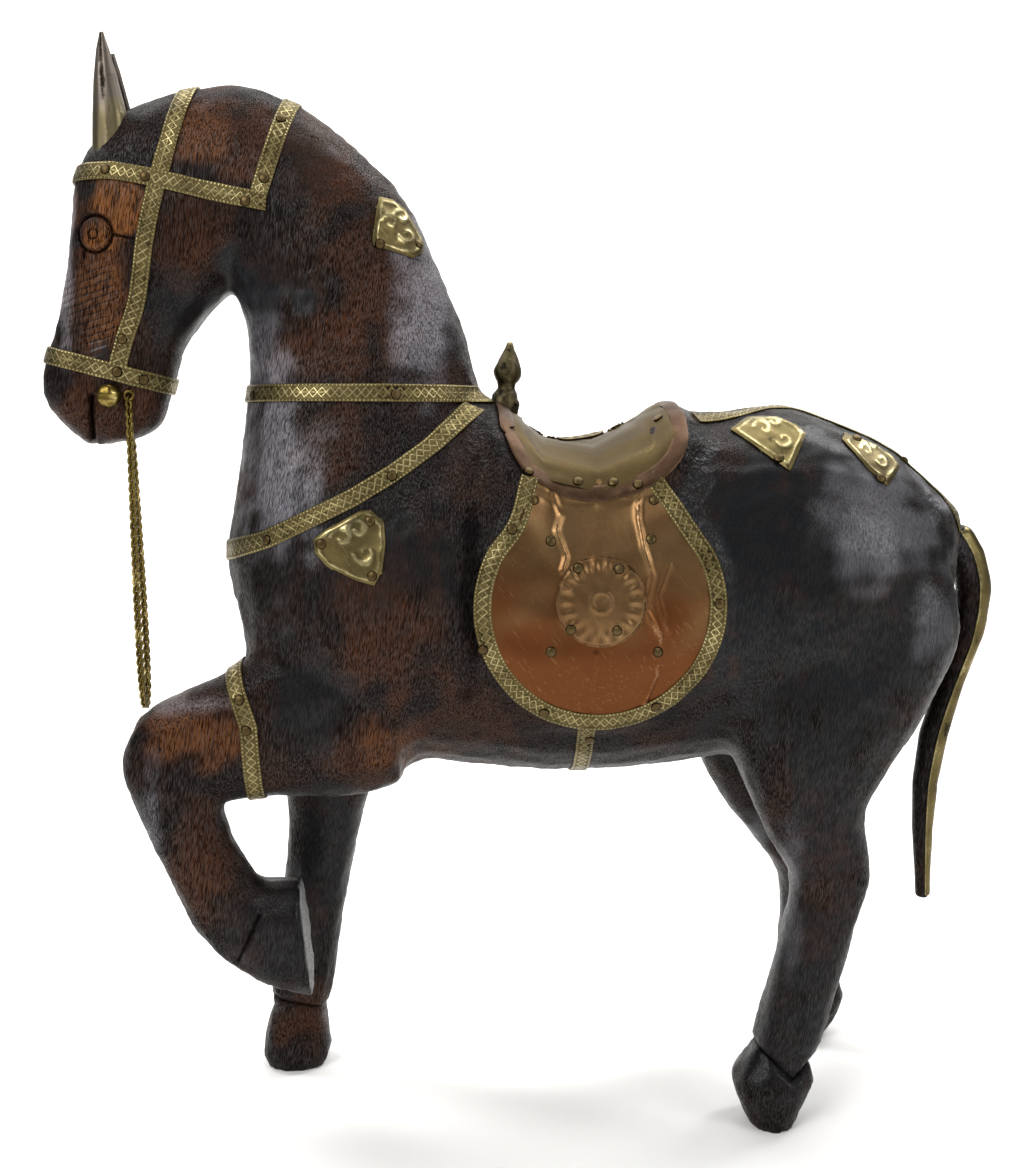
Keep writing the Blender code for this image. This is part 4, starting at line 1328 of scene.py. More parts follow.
def tree_of(*pieces: Piece) -> BVHTree:
    """A tree of the faces of some pieces, to cast rays at.

    Args:
        pieces: The pieces.

    Returns:
        The tree.
    """
    points, faces, count = [], [], 0
    for piece in pieces:
        points.extend(corners(piece).tolist())
        faces.extend([i + count for i in face.vertices] for face in piece.data.polygons)
        count = len(points)
    return BVHTree.FromPolygons(points, faces)


@dataclass
class Bridle:
    """The straps of the head."""

    smith: Smith
    width: float = 6.4 * MM
    browband: Line = ((-190, 357.5), (-148, 357.2), (-134.5, 354.8), (-92.3, 345.8), (-80, 343.2))
    crown: Line = ((-132.5, 350), (-122, 388), (-119, 400))
    cheek: Line = ((-131.5, 354), (-136.5, 332.7), (-140.5, 311.6), (-145.8, 297.2), (-149, 286))
    poll: Line = ((-98.5, 338), (-85, 382), (-78, 405))
    noseband: Line = ((-190, 295.4), (-161, 288.3), (-115, 276.4))
    tuck: float = 2.0

    def build(self) -> None:
        """Makes the straps, with the browband and noseband over the others."""
        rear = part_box("browband")[1].x
        brow_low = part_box("crown_strap")[0].z
        poll_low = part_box("poll_strap")[0].z
        self.smith.loop("browband", self.browband, self.width, (-0.128, 0, 0.352),
                        lambda hit: hit[:, 0] < rear, lift=1.15 * MM)
        self.smith.loop("crown_strap", self.crown, self.width, (-0.134, 0, 0.362),
                        lambda hit: hit[:, 2] > brow_low - self.tuck * MM)
        self.smith.loop("poll_strap", self.poll, self.width, (-0.099, 0, 0.352),
                        lambda hit: hit[:, 2] > poll_low - self.tuck * MM)
        self.smith.loop("noseband", self.noseband, self.width, (-0.158, 0, 0.286),
                        lambda hit: hit[:, 0] < 1, lift=1.15 * MM)
        for side in Side:
            line = spline(self.smith.drawing.places(self.cheek), self.smith.spacing)
            self.smith.ribbon(f"cheek_strap_{side.word}", line, self.width, View.SIDE, side,
                              (-0.15, 0, 0.32))


@dataclass
class NeckFittings:
    """The collar, the breast strap and the plaques of the neck and breast."""

    smith: Smith
    width: float = 6.4 * MM
    collar: Line = ((-130, 277.7), (0, 277.3))
    breast: Line = ((-125, 214), (-92.8, 225.1), (-75.5, 233.4), (-61.7, 240.2), (-48, 248.4), (-34.2, 258.1),
                    (-17, 273.5), (-4, 285))
    neck_plaque: Line = ((-54.5, 331), (-39.8, 327.1), (-36.5, 330), (-36.1, 333.9), (-42.9, 345.6),
                         (-47.3, 348.6), (-52.5, 349.2), (-54.7, 334))
    breast_plaque: Line = ((-71.5, 215.9), (-60.5, 210.6), (-54.4, 208.9), (-51.5, 214.7), (-50.3, 223.8),
                           (-50.8, 231.3), (-55.5, 235.7), (-58.8, 235.7), (-71.3, 228.9), (-76, 225.3),
                           (-75.4, 220.7))

    def build(self) -> None:
        """Makes the two straps and the four plaques."""
        collar_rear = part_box("neck_collar")[1].x
        breast_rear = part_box("breast_strap")[1].x
        self.smith.loop("neck_collar", self.collar, self.width, (-0.064, 0, 0.2775),
                        lambda hit: hit[:, 0] < collar_rear, lift=1.15 * MM)
        self.smith.loop("breast_strap", self.breast, self.width, (-0.075, 0, 0.244),
                        lambda hit: hit[:, 0] < breast_rear)
        for side in Side:
            plaque(self.smith, f"neck_plaque_{side.word}", self.neck_plaque, side)
            plaque(self.smith, f"breast_plaque_{side.word}", self.breast_plaque, side)


def plaque(smith: Smith, name: str, outline: Line, side: Side, cells: int = 34) -> None:
    """Makes a small cut plate with an embossed border and scrolls.

    Args:
        smith: Who lays it.
        name: Its name.
        outline: Its drawn outline in the side view.
        side: Its side.
        cells: How many cells its grid has each way.
    """
    edge = smith.drawing.places(outline)
    centre = edge.mean(axis=0)
    points, flat, share = smith.panel(edge, centre, cells, View.SIDE, side)
    reach = radius_at(edge - centre, np.linspace(0, math.tau, 60)).mean()
    local = (flat - centre) / reach
    rim = (1 - share) * reach
    relief = 0.30 * MM * bell(rim - 1.5 * MM, 0.55 * MM)
    for x, y, turn in ((-0.35, 0.25, 1), (0.32, -0.2, -1), (0.1, 0.5, 1)):
        dx, dy = local[:, :, 0] - x, local[:, :, 1] - y
        scroll = np.hypot(dx, dy) - 0.2 - 0.045 * turn * np.arctan2(dy, dx)
        relief = relief + 0.34 * MM * bell(scroll, 0.09) * step(1 - share, 0.12, 0.3)
    uneven = ripple(points, 6 * MM, sum(map(ord, name)))
    relief = relief - 0.25 * MM * bell(rim, 0.35 * MM) + 0.06 * MM * uneven
    wear = 0.42 + relief / (0.62 * MM) + 0.4 * bell(rim, 0.4 * MM)
    sheet = Sheet(name, points, relief, flat, (centre[0], 0, centre[1]), wear=wear)
    smith.fit(sheet, BRASS, "brass")


@dataclass
class Saddle:
    """The seat, its copper rim, the rosette, the flaps with their trims and discs, and the girth."""

    smith: Smith
    rim_width: float = 5.5 * MM
    trim_width: float = 6.2 * MM
    girth_width: float = 6.4 * MM
    seat_outline: Line = ((-6, 265), (0.5, 251.2), (10, 244.4), (18, 241.9), (28, 241.4), (41, 244.8),
                          (52, 251.8), (57.2, 260), (58, 268))
    saddle_radius: float = 0.042
    front_top: float = -6.4
    rear_top: float = 56.9
    flap_centre: Pair = (26.5, 200.5)
    flap_radius: float = 45.5
    flap_arc: Pair = (135, 402)
    flap_top_left: Pair = (1.5, 247)
    flap_top_right: Pair = (45.5, 248)
    disc_radius: float = 16.3 * MM
    rosette: Pair = (24.5, 0)
    rosette_radius: float = 9.5 * MM
    girth: Line = ((22.6, 175), (22.6, 100))
    seat_creases: tuple[Line, ...] = (
        ((33.6, 252.7), (44.1, 255), (55.3, 262.4)), ((22.1, 256.2), (30, 243.6)),
    )
    creases: tuple[Line, ...] = (
        ((10, 241), (12.5, 233), (10.5, 228), (14.2, 219), (12.5, 214)),
        ((41, 241), (40.5, 232), (42, 222), (45, 212), (42.5, 200), (48, 190), (47, 176), (43, 165)),
        ((51, 216), (47, 205), (50.5, 192)),
        ((25, 184), (23.5, 172), (24, 163)),
    )

    def build(self) -> None:
        """Makes the pieces from the seat down to the girth."""
        edge = self.unrolled()
        self.seat(edge)
        self.rim(edge)
        self.centre_rosette()
        for side in Side:
            self.flap(side)
        self.girth_strap()

    def unrolled(self) -> Array:
        """The seat's outline as x and the angle from the top, all the way round.

        Returns:
            The outline's places, one a row.
        """
        drawn = spline(self.smith.drawing.places(self.seat_outline), 2 * MM)
        turns = np.linspace(0, math.radians(130), 260)
        down = []
        for x, z in drawn:
            across = np.stack([np.full(len(turns), x), turns], axis=1)
            hits = self.smith.surface.laid(across, View.SADDLE, Side.RIGHT)
            down.append(turns[int(np.argmin(np.abs(hits[:, 2] - z) + 0.2 * MM * turns))])
        right = np.stack([drawn[:, 0], down], axis=1)
        front, rear = ([self.smith.drawing.place((x, 0))[0], 0.0] for x in (self.front_top, self.rear_top))
        left = right[::-1] * [1, -1]
        return np.concatenate([[front], right, [rear], left])

    def seat(self, edge: Array) -> None:
        """The brass sheet of the seat, pressed into the saddle's hollow.

        Args:
            edge: The seat's outline, as unrolled gives it.
        """
        centre = np.array([edge[:, 0].mean(), 0.0])
        points, flat, share = self.smith.panel(edge, centre, 84, View.SADDLE, Side.LEFT)
        relief = 0.22 * MM * ripple(points, 13 * MM, 11) + 0.07 * MM * ripple(points, 5 * MM, 12)
        side_view = points[:, :, [0, 2]].reshape(-1, 2)
        for crease in self.seat_creases:
            near = line_distance(side_view, self.smith.drawing.places(crease)).reshape(share.shape)
            relief = relief + 0.6 * MM * bell(near, 1.0 * MM)
        wear = 0.5 + 0.05 * ripple(points, 15 * MM, 13) + 0.2 * relief / MM
        sheet = Sheet("saddle_seat", points, relief, flat, (centre[0], 0, 0.228), wear=wear)
        self.smith.fit(sheet, SEAT_BRASS, "brass")

    def rim(self, edge: Array) -> None:
        """The copper strip round the seat.

        Args:
            edge: The seat's outline, as unrolled gives it.
        """
        scale = np.array([1.0, self.saddle_radius])
        line = spline(edge * scale, self.smith.spacing, closed=True)
        off = sideways(line)
        off[0] = off[-1] = (off[0] + off[-1]) / 2
        columns = [self.smith.surface.laid((line + v * off) / scale, View.SADDLE, Side.LEFT)
                   for v in self.smith.offsets(self.rim_width)]
        points = np.stack(columns, axis=1)
        points[-1] = points[0]
        self.smith.strap("saddle_rim", points, self.rim_width, (0.021, 0, 0.228), RIM_COPPER, "copper",
                         1.25 * MM, closed=True, plain=True)

    def centre_rosette(self) -> None:
        """The round embossed plate in the middle of the seat."""
        centre = self.smith.drawing.place(self.rosette)
        circle = disc_outline(centre, self.rosette_radius)
        points, flat, share = self.smith.panel(circle, centre, 30, View.TOP, Side.LEFT)
        turn = np.arctan2(flat[:, :, 1] - centre[1], flat[:, :, 0] - centre[0])
        relief = 0.3 * MM * bell(share - 0.92, 0.05) + 0.3 * MM * bell(share - 0.25, 0.07)
        relief = relief + 0.25 * MM * np.cos(8 * turn) * bell(share - 0.6, 0.17)
        sheet = Sheet("seat_rosette", points, relief, flat, (centre[0], 0, 0.2), lift=1.9 * MM)
        self.smith.fit(sheet, SEAT_BRASS, "brass")

    def flap_line(self) -> Array:
        """The middle line of a flap's trim, from the front top round below to the rear top.

        Returns:
            Places in the side view, one a row.
        """
        radius = self.flap_radius - self.trim_width / MM / 2
        turns = np.radians(np.linspace(*self.flap_arc, 15))
        arc = (np.stack([np.cos(turns), np.sin(turns)], axis=1) * radius + self.flap_centre).tolist()
        return self.smith.drawing.places((self.flap_top_left, *arc, self.flap_top_right))

    def flap(self, side: Side) -> None:
        """One copper flap with its creases, its brass trim and its disc.

        Args:
            side: The side that it is on.
        """
        line = spline(self.flap_line(), self.smith.spacing)
        panel_edge = spline(self.flap_line(), 3 * MM)
        centre = self.smith.drawing.place(self.flap_centre)
        points, flat, share = self.smith.panel(panel_edge, centre, 120, View.SIDE, side)
        relief = 0.10 * MM * ripple(points, 19 * MM, 21 + side.value)
        for i, crease in enumerate(self.creases):
            near = line_distance(flat.reshape(-1, 2), self.smith.drawing.places(crease))
            near = near.reshape(share.shape)
            relief = relief + (0.8 if i < 2 else 0.5) * MM * bell(near, (1.0 if i < 2 else 0.8) * MM)
        wear = 0.5 + relief / (4 * MM) + 0.03 * ripple(points, 12 * MM, 25)
        tinting = step(flat[:, :, 1] + 6 * MM * ripple(points, 22 * MM, 27), 0.228, 0.182)
        sheet = Sheet(f"saddle_flap_{side.word}", points, relief, flat, (centre[0], 0, centre[1]),
                      tinting=tinting, wear=wear, lift=0.75 * MM)
        self.smith.fit(sheet, COPPER, "copper")
        self.smith.ribbon(f"flap_trim_{side.word}", line, self.trim_width, View.SIDE, side,
                          (centre[0], 0, centre[1]), lift=1.3 * MM)
        self.disc(side)

    def disc(self, side: Side) -> None:
        """The embossed copper disc on a flap: a ring of petals about a small ring.

        Args:
            side: The side that it is on.
        """
        centre = self.smith.drawing.place(self.smith.drawing.disc_place)
        circle = disc_outline(centre, self.disc_radius)
        points, flat, share = self.smith.panel(circle, centre, 56, View.SIDE, side)
        turn = np.arctan2(flat[:, :, 1] - centre[1], flat[:, :, 0] - centre[0])
        petals = np.cos(18 * turn) * bell(share - 0.78, 0.11)
        relief = 0.34 * MM * petals + 0.3 * MM * bell(share - 0.22, 0.055)
        relief = relief - 0.3 * MM * bell(share - 1.0, 0.04) + 0.06 * MM * ripple(points, 7 * MM, 31)
        wear = 0.5 + relief / (1.5 * MM) - 0.3 * bell(share - 0.97, 0.02)
        tinting = np.full(share.shape, 0.15)
        sheet = Sheet(f"flap_disc_{side.word}", points, relief, flat, (centre[0], 0, centre[1]),
                      tinting=tinting, wear=wear, lift=1.75 * MM)
        self.smith.fit(sheet, COPPER, "copper")

    def girth_strap(self) -> None:
        """The strap under the belly, with its ends under the trims."""
        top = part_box("girth_strap")[1].z + 2 * MM
        self.smith.loop("girth_strap", self.girth, self.girth_width, (0.0176, 0, 0.17),
                        lambda hit: hit[:, 2] < top)


def disc_outline(centre: Array, radius: float) -> Array:
    """A circle as an outline of 64 points."""
    turns = np.linspace(0, math.tau, 64, endpoint=False)
    return centre + radius * np.stack([np.cos(turns), np.sin(turns)], axis=1)


@dataclass
class CroupFittings:
    """The straps along the croup and the four plaques beside them."""

    smith: Smith
    width: float = 6.8 * MM
    line: Line = ((66, -17.8), (88, -11), (104, -5.5), (124, -8.5), (150, -9.5), (172, -11.5))
    front: Line = ((78, 264.2), (88, 256), (96.7, 249), (105.2, 262.4), (103.2, 265.5), (97, 268.9),
                   (86.5, 268.9))
    rear: Line = ((120, 260.5), (127.5, 249.5), (134.3, 243.4), (143.6, 250.5), (141.6, 253.8), (135, 258.2),
                  (122.7, 263))

    def build(self) -> None:
        """Makes the pieces of each side."""
        for side in Side:
            line = self.smith.drawing.places(tuple((x, -side.value * y) for x, y in self.line))
            line = spline(line, self.smith.spacing)
            self.smith.ribbon(f"crupper_strap_{side.word}", line, self.width, View.TOP, side, (0.1, 0, 0.2))
            plaque(self.smith, f"front_croup_plaque_{side.word}", self.front, side)
            plaque(self.smith, f"rear_croup_plaque_{side.word}", self.rear, side)


@dataclass
class LegBand:
    """The strap round the top of the raised foreleg."""

    smith: Smith
    width: float = 6.4 * MM
    line: Line = ((-108.5, 186), (-105.6, 172), (-100.6, 157.5), (-98.6, 120))

    def build(self) -> None:
        """Makes the strap."""
        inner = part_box("foreleg_band")[1].y
        self.smith.loop("foreleg_band", self.line, self.width, (-0.108, -0.028, 0.155),
                        lambda hit: hit[:, 1] < inner)


@dataclass
class Tail:
    """The set-in wooden tail with its brass strip."""

    smith: Smith
    middle: Line = ((169.5, 232.7), (175.5, 223.2), (180.7, 214), (183.6, 201), (181.6, 182), (174.7, 161.5),
                    (169.1, 142.5), (166, 122), (165.6, 102), (166.1, 86), (166.6, 75))

    def build(self) -> None:
        """Makes the tail and lays the strip along its rear."""
        wood = copy_node("tail", "carved_tail")
        apply_modifier(wood, "REMESH", mode="VOXEL", voxel_size=0.9 * MM)
        for _ in range(3):
            apply_modifier(wood, "SMOOTH", factor=0.5, iterations=4)
        points = corners(wood)
        for name in PAINTED:
            paint(wood, name, np.zeros(len(points)))
        # Painted sheen on the top of the tail, in the dust colour.
        paint(wood, "dust", 0.35 * step(points[:, 2], 0.2, 0.23))
        shade_round(wood)
        dress(wood, WOOD, "wood", "tail")
        self.strip(wood)

    def strip(self, wood: Piece) -> None:
        """The sheet folded over the rear of the tail.

        Args:
            wood: The wooden tail.
        """
        line = spline(self.smith.drawing.places(self.middle), 0.9 * MM)
        line = line[3:]
        back = -sideways(line)
        back *= np.sign(back[:, :1] + 1e-9)
        turns = np.radians(np.linspace(-88, 88, 15))
        surface = CarvedSurface(tree_of(wood))
        columns = []
        for turn in turns:
            rays = np.stack([back[:, 0] * math.cos(turn), np.full(len(line), math.sin(turn)),
                             back[:, 1] * math.cos(turn)], axis=1)
            origins = np.stack([line[:, 0], np.zeros(len(line)), line[:, 1]], axis=1)
            columns.append(surface.cast(origins, rays))
        points = soften(np.stack(columns, axis=1), 4)
        relief = 0.05 * MM * ripple(points, 8 * MM, 41)
        wear = 0.45 + 0.16 * ripple(points, 10 * MM, 42)
        wear[:, [0, -1]] = 0.8
        middle = np.stack([line[:, 0], np.zeros(len(line)), line[:, 1]], axis=1)[:, None, :]
        sheet = Sheet("tail_strip", points, relief, points[:, :, [0, 2]], middle, wear=wear, lift=0.7 * MM)
        self.smith.fit(sheet, BRASS, "brass")


@dataclass
class Ears:
    """Two folded leaves of sheet brass."""

    drawing: Drawing
    front: Line = ((-156.4, 362), (-155.8, 378), (-155, 391), (-153.8, 402), (-152.4, 407.8))
    rear: Line = ((-143, 362), (-144, 378), (-147.2, 391), (-149.8, 401), (-151.8, 407.6))
    fold: tuple[float, ...] = (5, 5.2, 4, 2, 0.6)
    middle: float = 8.5
    sheet: float = 0.9 * MM
    drop: Pair = (0, 3)

    def build(self) -> None:
        """Makes an ear on each side."""
        rows = np.linspace(0, len(self.front) - 1, 41)
        steps = np.arange(len(self.front))
        front = [np.interp(rows, steps, column) for column in np.array(self.front).T]
        rear = [np.interp(rows, steps, column) for column in np.array(self.rear).T]
        fold = np.interp(rows, steps, self.fold)
        turns = np.linspace(0, math.pi, 19)
        for side, drop in zip(Side, self.drop):
            x = ((front[0] + rear[0]) / 2)[:, None] + ((front[0] - rear[0]) / 2)[:, None] * np.cos(turns)
            y = side.value * (self.middle + fold[:, None] * np.sin(turns))
            z = np.tile(((front[1] + rear[1]) / 2 - drop)[:, None], (1, len(turns)))
            points = np.stack([x * MM + self.drawing.shift, y * MM, z * MM], axis=2)
            inside = np.stack([(x[:, :1] + x[:, -1:]) / 2 * MM + self.drawing.shift,
                               np.full((len(rows), 1), side.value * self.middle * MM), z[:, :1] * MM], axis=2)
            height = (z - z.min()) / (z.max() - z.min())
            around = np.tile(turns, (len(rows), 1))
            crease = bell(around - 1.9 + 0.5 * height, 0.1) + bell(around - 1.2 - 0.3 * height, 0.08)
            relief = 0.3 * MM * bell(around - 2.3, 0.3) - 0.3 * MM * crease
            wear = 0.62 - 0.3 * step(height, 0.35, 0.6) - 0.35 * crease + 0.07 * ripple(points, 6 * MM, 51)
            tinting = step(height + 0.08 * ripple(points, 9 * MM, 52), 0.3, 0.55)
            made = Sheet(f"ear_{side.word}", points, relief, points[:, :, [0, 2]], inside,
                         lift=self.sheet / 2, thickness=self.sheet, wear=wear, tinting=tinting)
            dress(made.build(), EAR_BRASS, "brass", f"ear_{side.word}")


@dataclass
class Bit:
    """The bosses at the mouth, their rings and the rein chain between them."""

    link_pitch: float = 3.5 * MM
    wire: float = 0.52 * MM
    sag: float = 3.6 * MM
    ring_radius: float = 1.6 * MM
    ring_wire: float = 1.0 * MM
    gap: float = 0.3 * MM
    chain: float = 2.6 * MM

    def build(self) -> None:
        """Makes the bosses, the rings and the chain."""
        ends = []
        for side in Side:
            self.boss(side)
            ends.append(self.ring(side))
        self.links(*ends)

    def boss(self, side: Side) -> None:
        """A hammered dome.

        Args:
            side: The side that it is on.
        """
        name = f"bit_boss_{side.word}"
        made = copy_node(name, f"hammered_boss_{side.word}")
        apply_modifier(made, "SUBSURF", levels=3, render_levels=3)
        low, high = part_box(name)
        points, normals = corners(made), corner_normals(made)
        points += normals * (0.14 * MM * ripple(points, 4.5 * MM, 61))[:, None]
        points = np.clip(points, low, high)
        set_corners(made, points)
        dress_metal(made, 0.62 + 0.14 * ripple(points, 5 * MM, 62), GOLD_BRASS, "brass", name)

    def ring(self, side: Side) -> Vector:
        """The small ring beside a boss.

        Args:
            side: The side that it is on.

        Returns:
            The ring's middle.
        """
        name = f"bit_ring_{side.word}"
        low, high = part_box(name)
        middle = (low + high) / 2
        deselect()
        bpy.ops.mesh.primitive_torus_add(major_radius=self.ring_radius, minor_radius=self.ring_wire / 2,
                                         major_segments=36, minor_segments=10, location=middle,
                                         rotation=(math.pi / 2, 0, 0))
        made = bpy.context.object
        made.name = made.data.name = f"chain_ring_{side.word}"
        bpy.ops.object.transform_apply(location=True, rotation=True, scale=True)
        dress_metal(made, np.full(len(made.data.vertices), 0.6), GOLD_BRASS, "brass", name)
        return middle

    def path(self, left: Vector, right: Vector) -> Array:
        """The chain's middle line, a hanging chain's curve from ring to ring.

        Args:
            left: The middle of the left ring.
            right: The middle of the right ring.

        Returns:
            The curve's places, one a row.
        """
        half = (right.y - left.y) / 2
        drop = self.ring_radius + self.ring_wire / 2 + self.gap + self.chain / 2
        depth = self.sag * (math.cosh(half / self.sag) - 1)
        low = Vector((max(left.x, right.x), 0, (left.z + right.z) / 2 - drop - depth))
        points = []
        for t in np.linspace(-1, 1, 61):
            y = self.sag * math.asinh(math.sinh(half / self.sag) * t)
            share = self.sag * (math.cosh(y / self.sag) - 1) / depth
            end = left if t < 0 else right
            points.append((low.x + (end.x - low.x) * share, (left.y + right.y) / 2 + y,
                           low.z + (end.z - drop - low.z) * share))
        points[0] = tuple(left - Vector((0, 0, self.ring_radius)))
        points[-1] = tuple(right - Vector((0, 0, self.ring_radius)))
        return even(np.array(points), self.link_pitch / 2)

    def links(self, left: Vector, right: Vector) -> None:
        """Twisted links along the path, copied from one link.

        Args:
            left: The middle of the left ring.
            right: The middle of the right ring.
        """
        path = self.path(left, right)
        deselect()
        bpy.ops.mesh.primitive_torus_add(major_radius=1.25 * MM, minor_radius=self.wire, major_segments=16,
                                         minor_segments=6)
        first = bpy.context.object
        with all_selected(first):
            bpy.ops.transform.resize(value=(1.5, 0.92, 1.0))
        shape = corners(first)
        shape[:, 2] += 0.5 * MM * (shape[:, 0] / (2 * MM)) * (shape[:, 1] / (1 * MM))
        links = [first]
        for i in range(1, len(path) - 2):
            copied = bpy.data.objects.new("link", first.data.copy())
            bpy.context.scene.collection.objects.link(copied)
            links.append(copied)
        for i, link in enumerate(links):
            along = Vector(path[i + 1] - path[i]).normalized()
            side = along.cross(Vector((1, 0, 0))).normalized()
            up = side.cross(along)
            turn = math.radians(45 if i % 2 else -45)
            y = side * math.cos(turn) + up * math.sin(turn)
            z = along.cross(y)
            basis = np.array([along, y, z])
            middle = (path[i] + path[i + 1]) / 2
            set_corners(link, shape @ basis + middle)
        deselect()
        for link in links:
            link.select_set(True)
        bpy.context.view_layer.objects.active = first
        bpy.ops.object.join()
        first.name = first.data.name = "rein_chain_links"
        wear = 0.5 + 0.15 * ripple(corners(first), 9 * MM, 71)
        dress_metal(first, wear, GOLD_BRASS, "brass", "rein_chain")


@dataclass
class Finial:
    """The turned knob on the pommel."""

    radius: float = 5.5 * MM
    lean: float = math.radians(5)
    foot: float = -0.14
    profile: Line = ((0.98, -0.14), (1.0, 0.0), (1.0, 0.05), (0.93, 0.09), (0.9, 0.14), (0.78, 0.19),
                     (0.62, 0.24), (0.6, 0.29), (0.66, 0.34), (0.84, 0.4), (0.97, 0.46), (1.0, 0.51),
                     (0.96, 0.57),
                     (0.86, 0.63), (0.7, 0.71), (0.53, 0.79), (0.38, 0.86), (0.27, 0.92), (0.24, 0.96),
                     (0.14, 0.995))

    def build(self) -> None:
        """Turns the knob by extruding and sizing a ring up its profile, then leans it."""
        low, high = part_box("pommel_finial")
        height = (high.z - low.z) / (1 - self.foot)
        deselect()
        bpy.ops.mesh.primitive_circle_add(vertices=40, radius=self.radius * self.profile[0][0],
                                          fill_type="NGON", location=(0, 0, 0))
        made = bpy.context.object
        made.name = made.data.name = "turned_finial"
        with all_selected(made):
            for (wide, at), (next_wide, next_at) in zip(self.profile, self.profile[1:]):
                rise = (0, 0, (next_at - at) * height)
                bpy.ops.mesh.extrude_region_move(TRANSFORM_OT_translate={"value": rise})
                bpy.ops.transform.resize(value=(next_wide / wide, next_wide / wide, 1))
        with all_selected(made):
            bpy.ops.mesh.normals_make_consistent(inside=False)
        points = corners(made)
        points[:, :2] *= (1 + 0.035 * ripple(points, 5 * MM, 81))[:, None]
        lean = np.array(Euler((0, self.lean, 0)).to_matrix())
        points = points @ lean.T
        span = points.max(axis=0) - points.min(axis=0)
        points += [(low.x + high.x) / 2, 0, low.z] - (points.min(axis=0) + [span[0] / 2, span[1] / 2, 0])
        set_corners(made, np.clip(points, low, high))
        paint(made, "worn", 0.4 + 0.22 * ripple(points, 4 * MM, 82))
        paint(made, "tinting", np.zeros(len(points)))
        smooth_shading(made, 50)
        dress(made, BRONZE, "bronze", "pommel_finial")


@dataclass(frozen=True)
class NailRow:
    """Nails of one group, by the photograph's pixels."""

    name: str
    places: Line


@dataclass
class Nails:
    """Small round-headed nails through the sheets."""

    camera: PhotoCamera
    smith: Smith
    radius: float = 2.0 * MM
    height: float = 0.75 * MM
    groups: tuple[NailRow, ...] = (
        NailRow("bridle_nails", ((105, 169), (145, 176), (245, 201), (122, 339), (117, 372), (144, 380),
                                 (281, 118), (264, 178))),
        NailRow("neck_nails", ((386, 197), (380, 244), (419, 244), (252, 395), (396, 394.5), (392, 476),
                               (266.5, 540), (321, 544), (370, 521), (372, 576))),
        NailRow("seat_nails", ((578, 481), (613, 482), (658, 418), (529, 471), (638, 484))),
        NailRow("flap_nails", ((551, 541), (651, 539), (551, 652), (658, 652), (578, 568), (619, 569),
                               (571, 630), (617, 631), (534, 500), (512, 529), (483, 650), (544, 713),
                               (656, 707), (720, 604), (654, 500), (590, 740))),
        NailRow("croup_nails", ((779, 458), (857, 438), (903, 461), (881, 478))),
        NailRow("leg_nails", ((239, 700), (246, 731))),
    )
    one_side: tuple[str, ...] = ("leg_nails",)

    def build(self) -> None:
        """Makes each group as one piece, copied from one nail."""
        tree = tree_of(*self.smith.made)
        shape, faces = self.head()
        for group in self.groups:
            placed = []
            for x, y in group.places:
                spot, normal, _, _ = tree.ray_cast(Vector(self.camera.place), self.camera.ray(x, y))
                if spot is None:
                    LOG.warning("%s: no metal at pixel %s, %s", group.name, x, y)
                    continue
                placed.append((spot, normal))
                if group.name not in self.one_side:
                    start = Vector((spot.x, 0.4, spot.z))
                    other, other_normal, _, _ = tree.ray_cast(start, Vector((0, -1, 0)))
                    if other is not None and other.y > 0:
                        placed.append((other, other_normal))
            self.hammer(group.name, placed, shape, faces)

    def head(self) -> tuple[Array, list]:
        """The shape of one nail head: a low dome with a rounded rim.

        Returns:
            Its places and faces.
        """
        deselect()
        bpy.ops.mesh.primitive_uv_sphere_add(segments=14, ring_count=8, radius=1)
        made = bpy.context.object
        with all_selected(made):
            bpy.ops.transform.resize(value=(self.radius, self.radius, self.height))
        shape = corners(made)
        faces = [tuple(face.vertices) for face in made.data.polygons]
        bpy.data.objects.remove(made)
        return shape, faces

    def hammer(self, name: str, placed: list, shape: Array, faces: list) -> None:
        """Joins a group's nails in one mesh.

        Args:
            name: The group's name.
            placed: Each nail's place and direction.
            shape: The places of one nail.
            faces: The faces of one nail.
        """
        points, turned, wear = [], [], []
        for i, (spot, normal) in enumerate(placed):
            basis = np.array(normal.to_track_quat("Z", "Y").to_matrix())
            tone = 0.45 + 0.15 * math.sin(3.7 * i)
            turned.extend(tuple(k + len(shape) * i for k in face) for face in faces)
            points.append(shape @ basis.T + np.array(spot))
            # The lower half of each head, where it meets the sheet, takes the darkest colour.
            wear.append(np.where(shape[:, 2] < 0.5 * self.height, 0.0, tone))
        data = bpy.data.meshes.new(name)
        data.from_pydata(np.concatenate(points).tolist(), [], turned)
        made = bpy.data.objects.new(name, data)
        bpy.context.scene.collection.objects.link(made)
        dress_metal(made, np.concatenate(wear), NAIL_METAL, "brass")


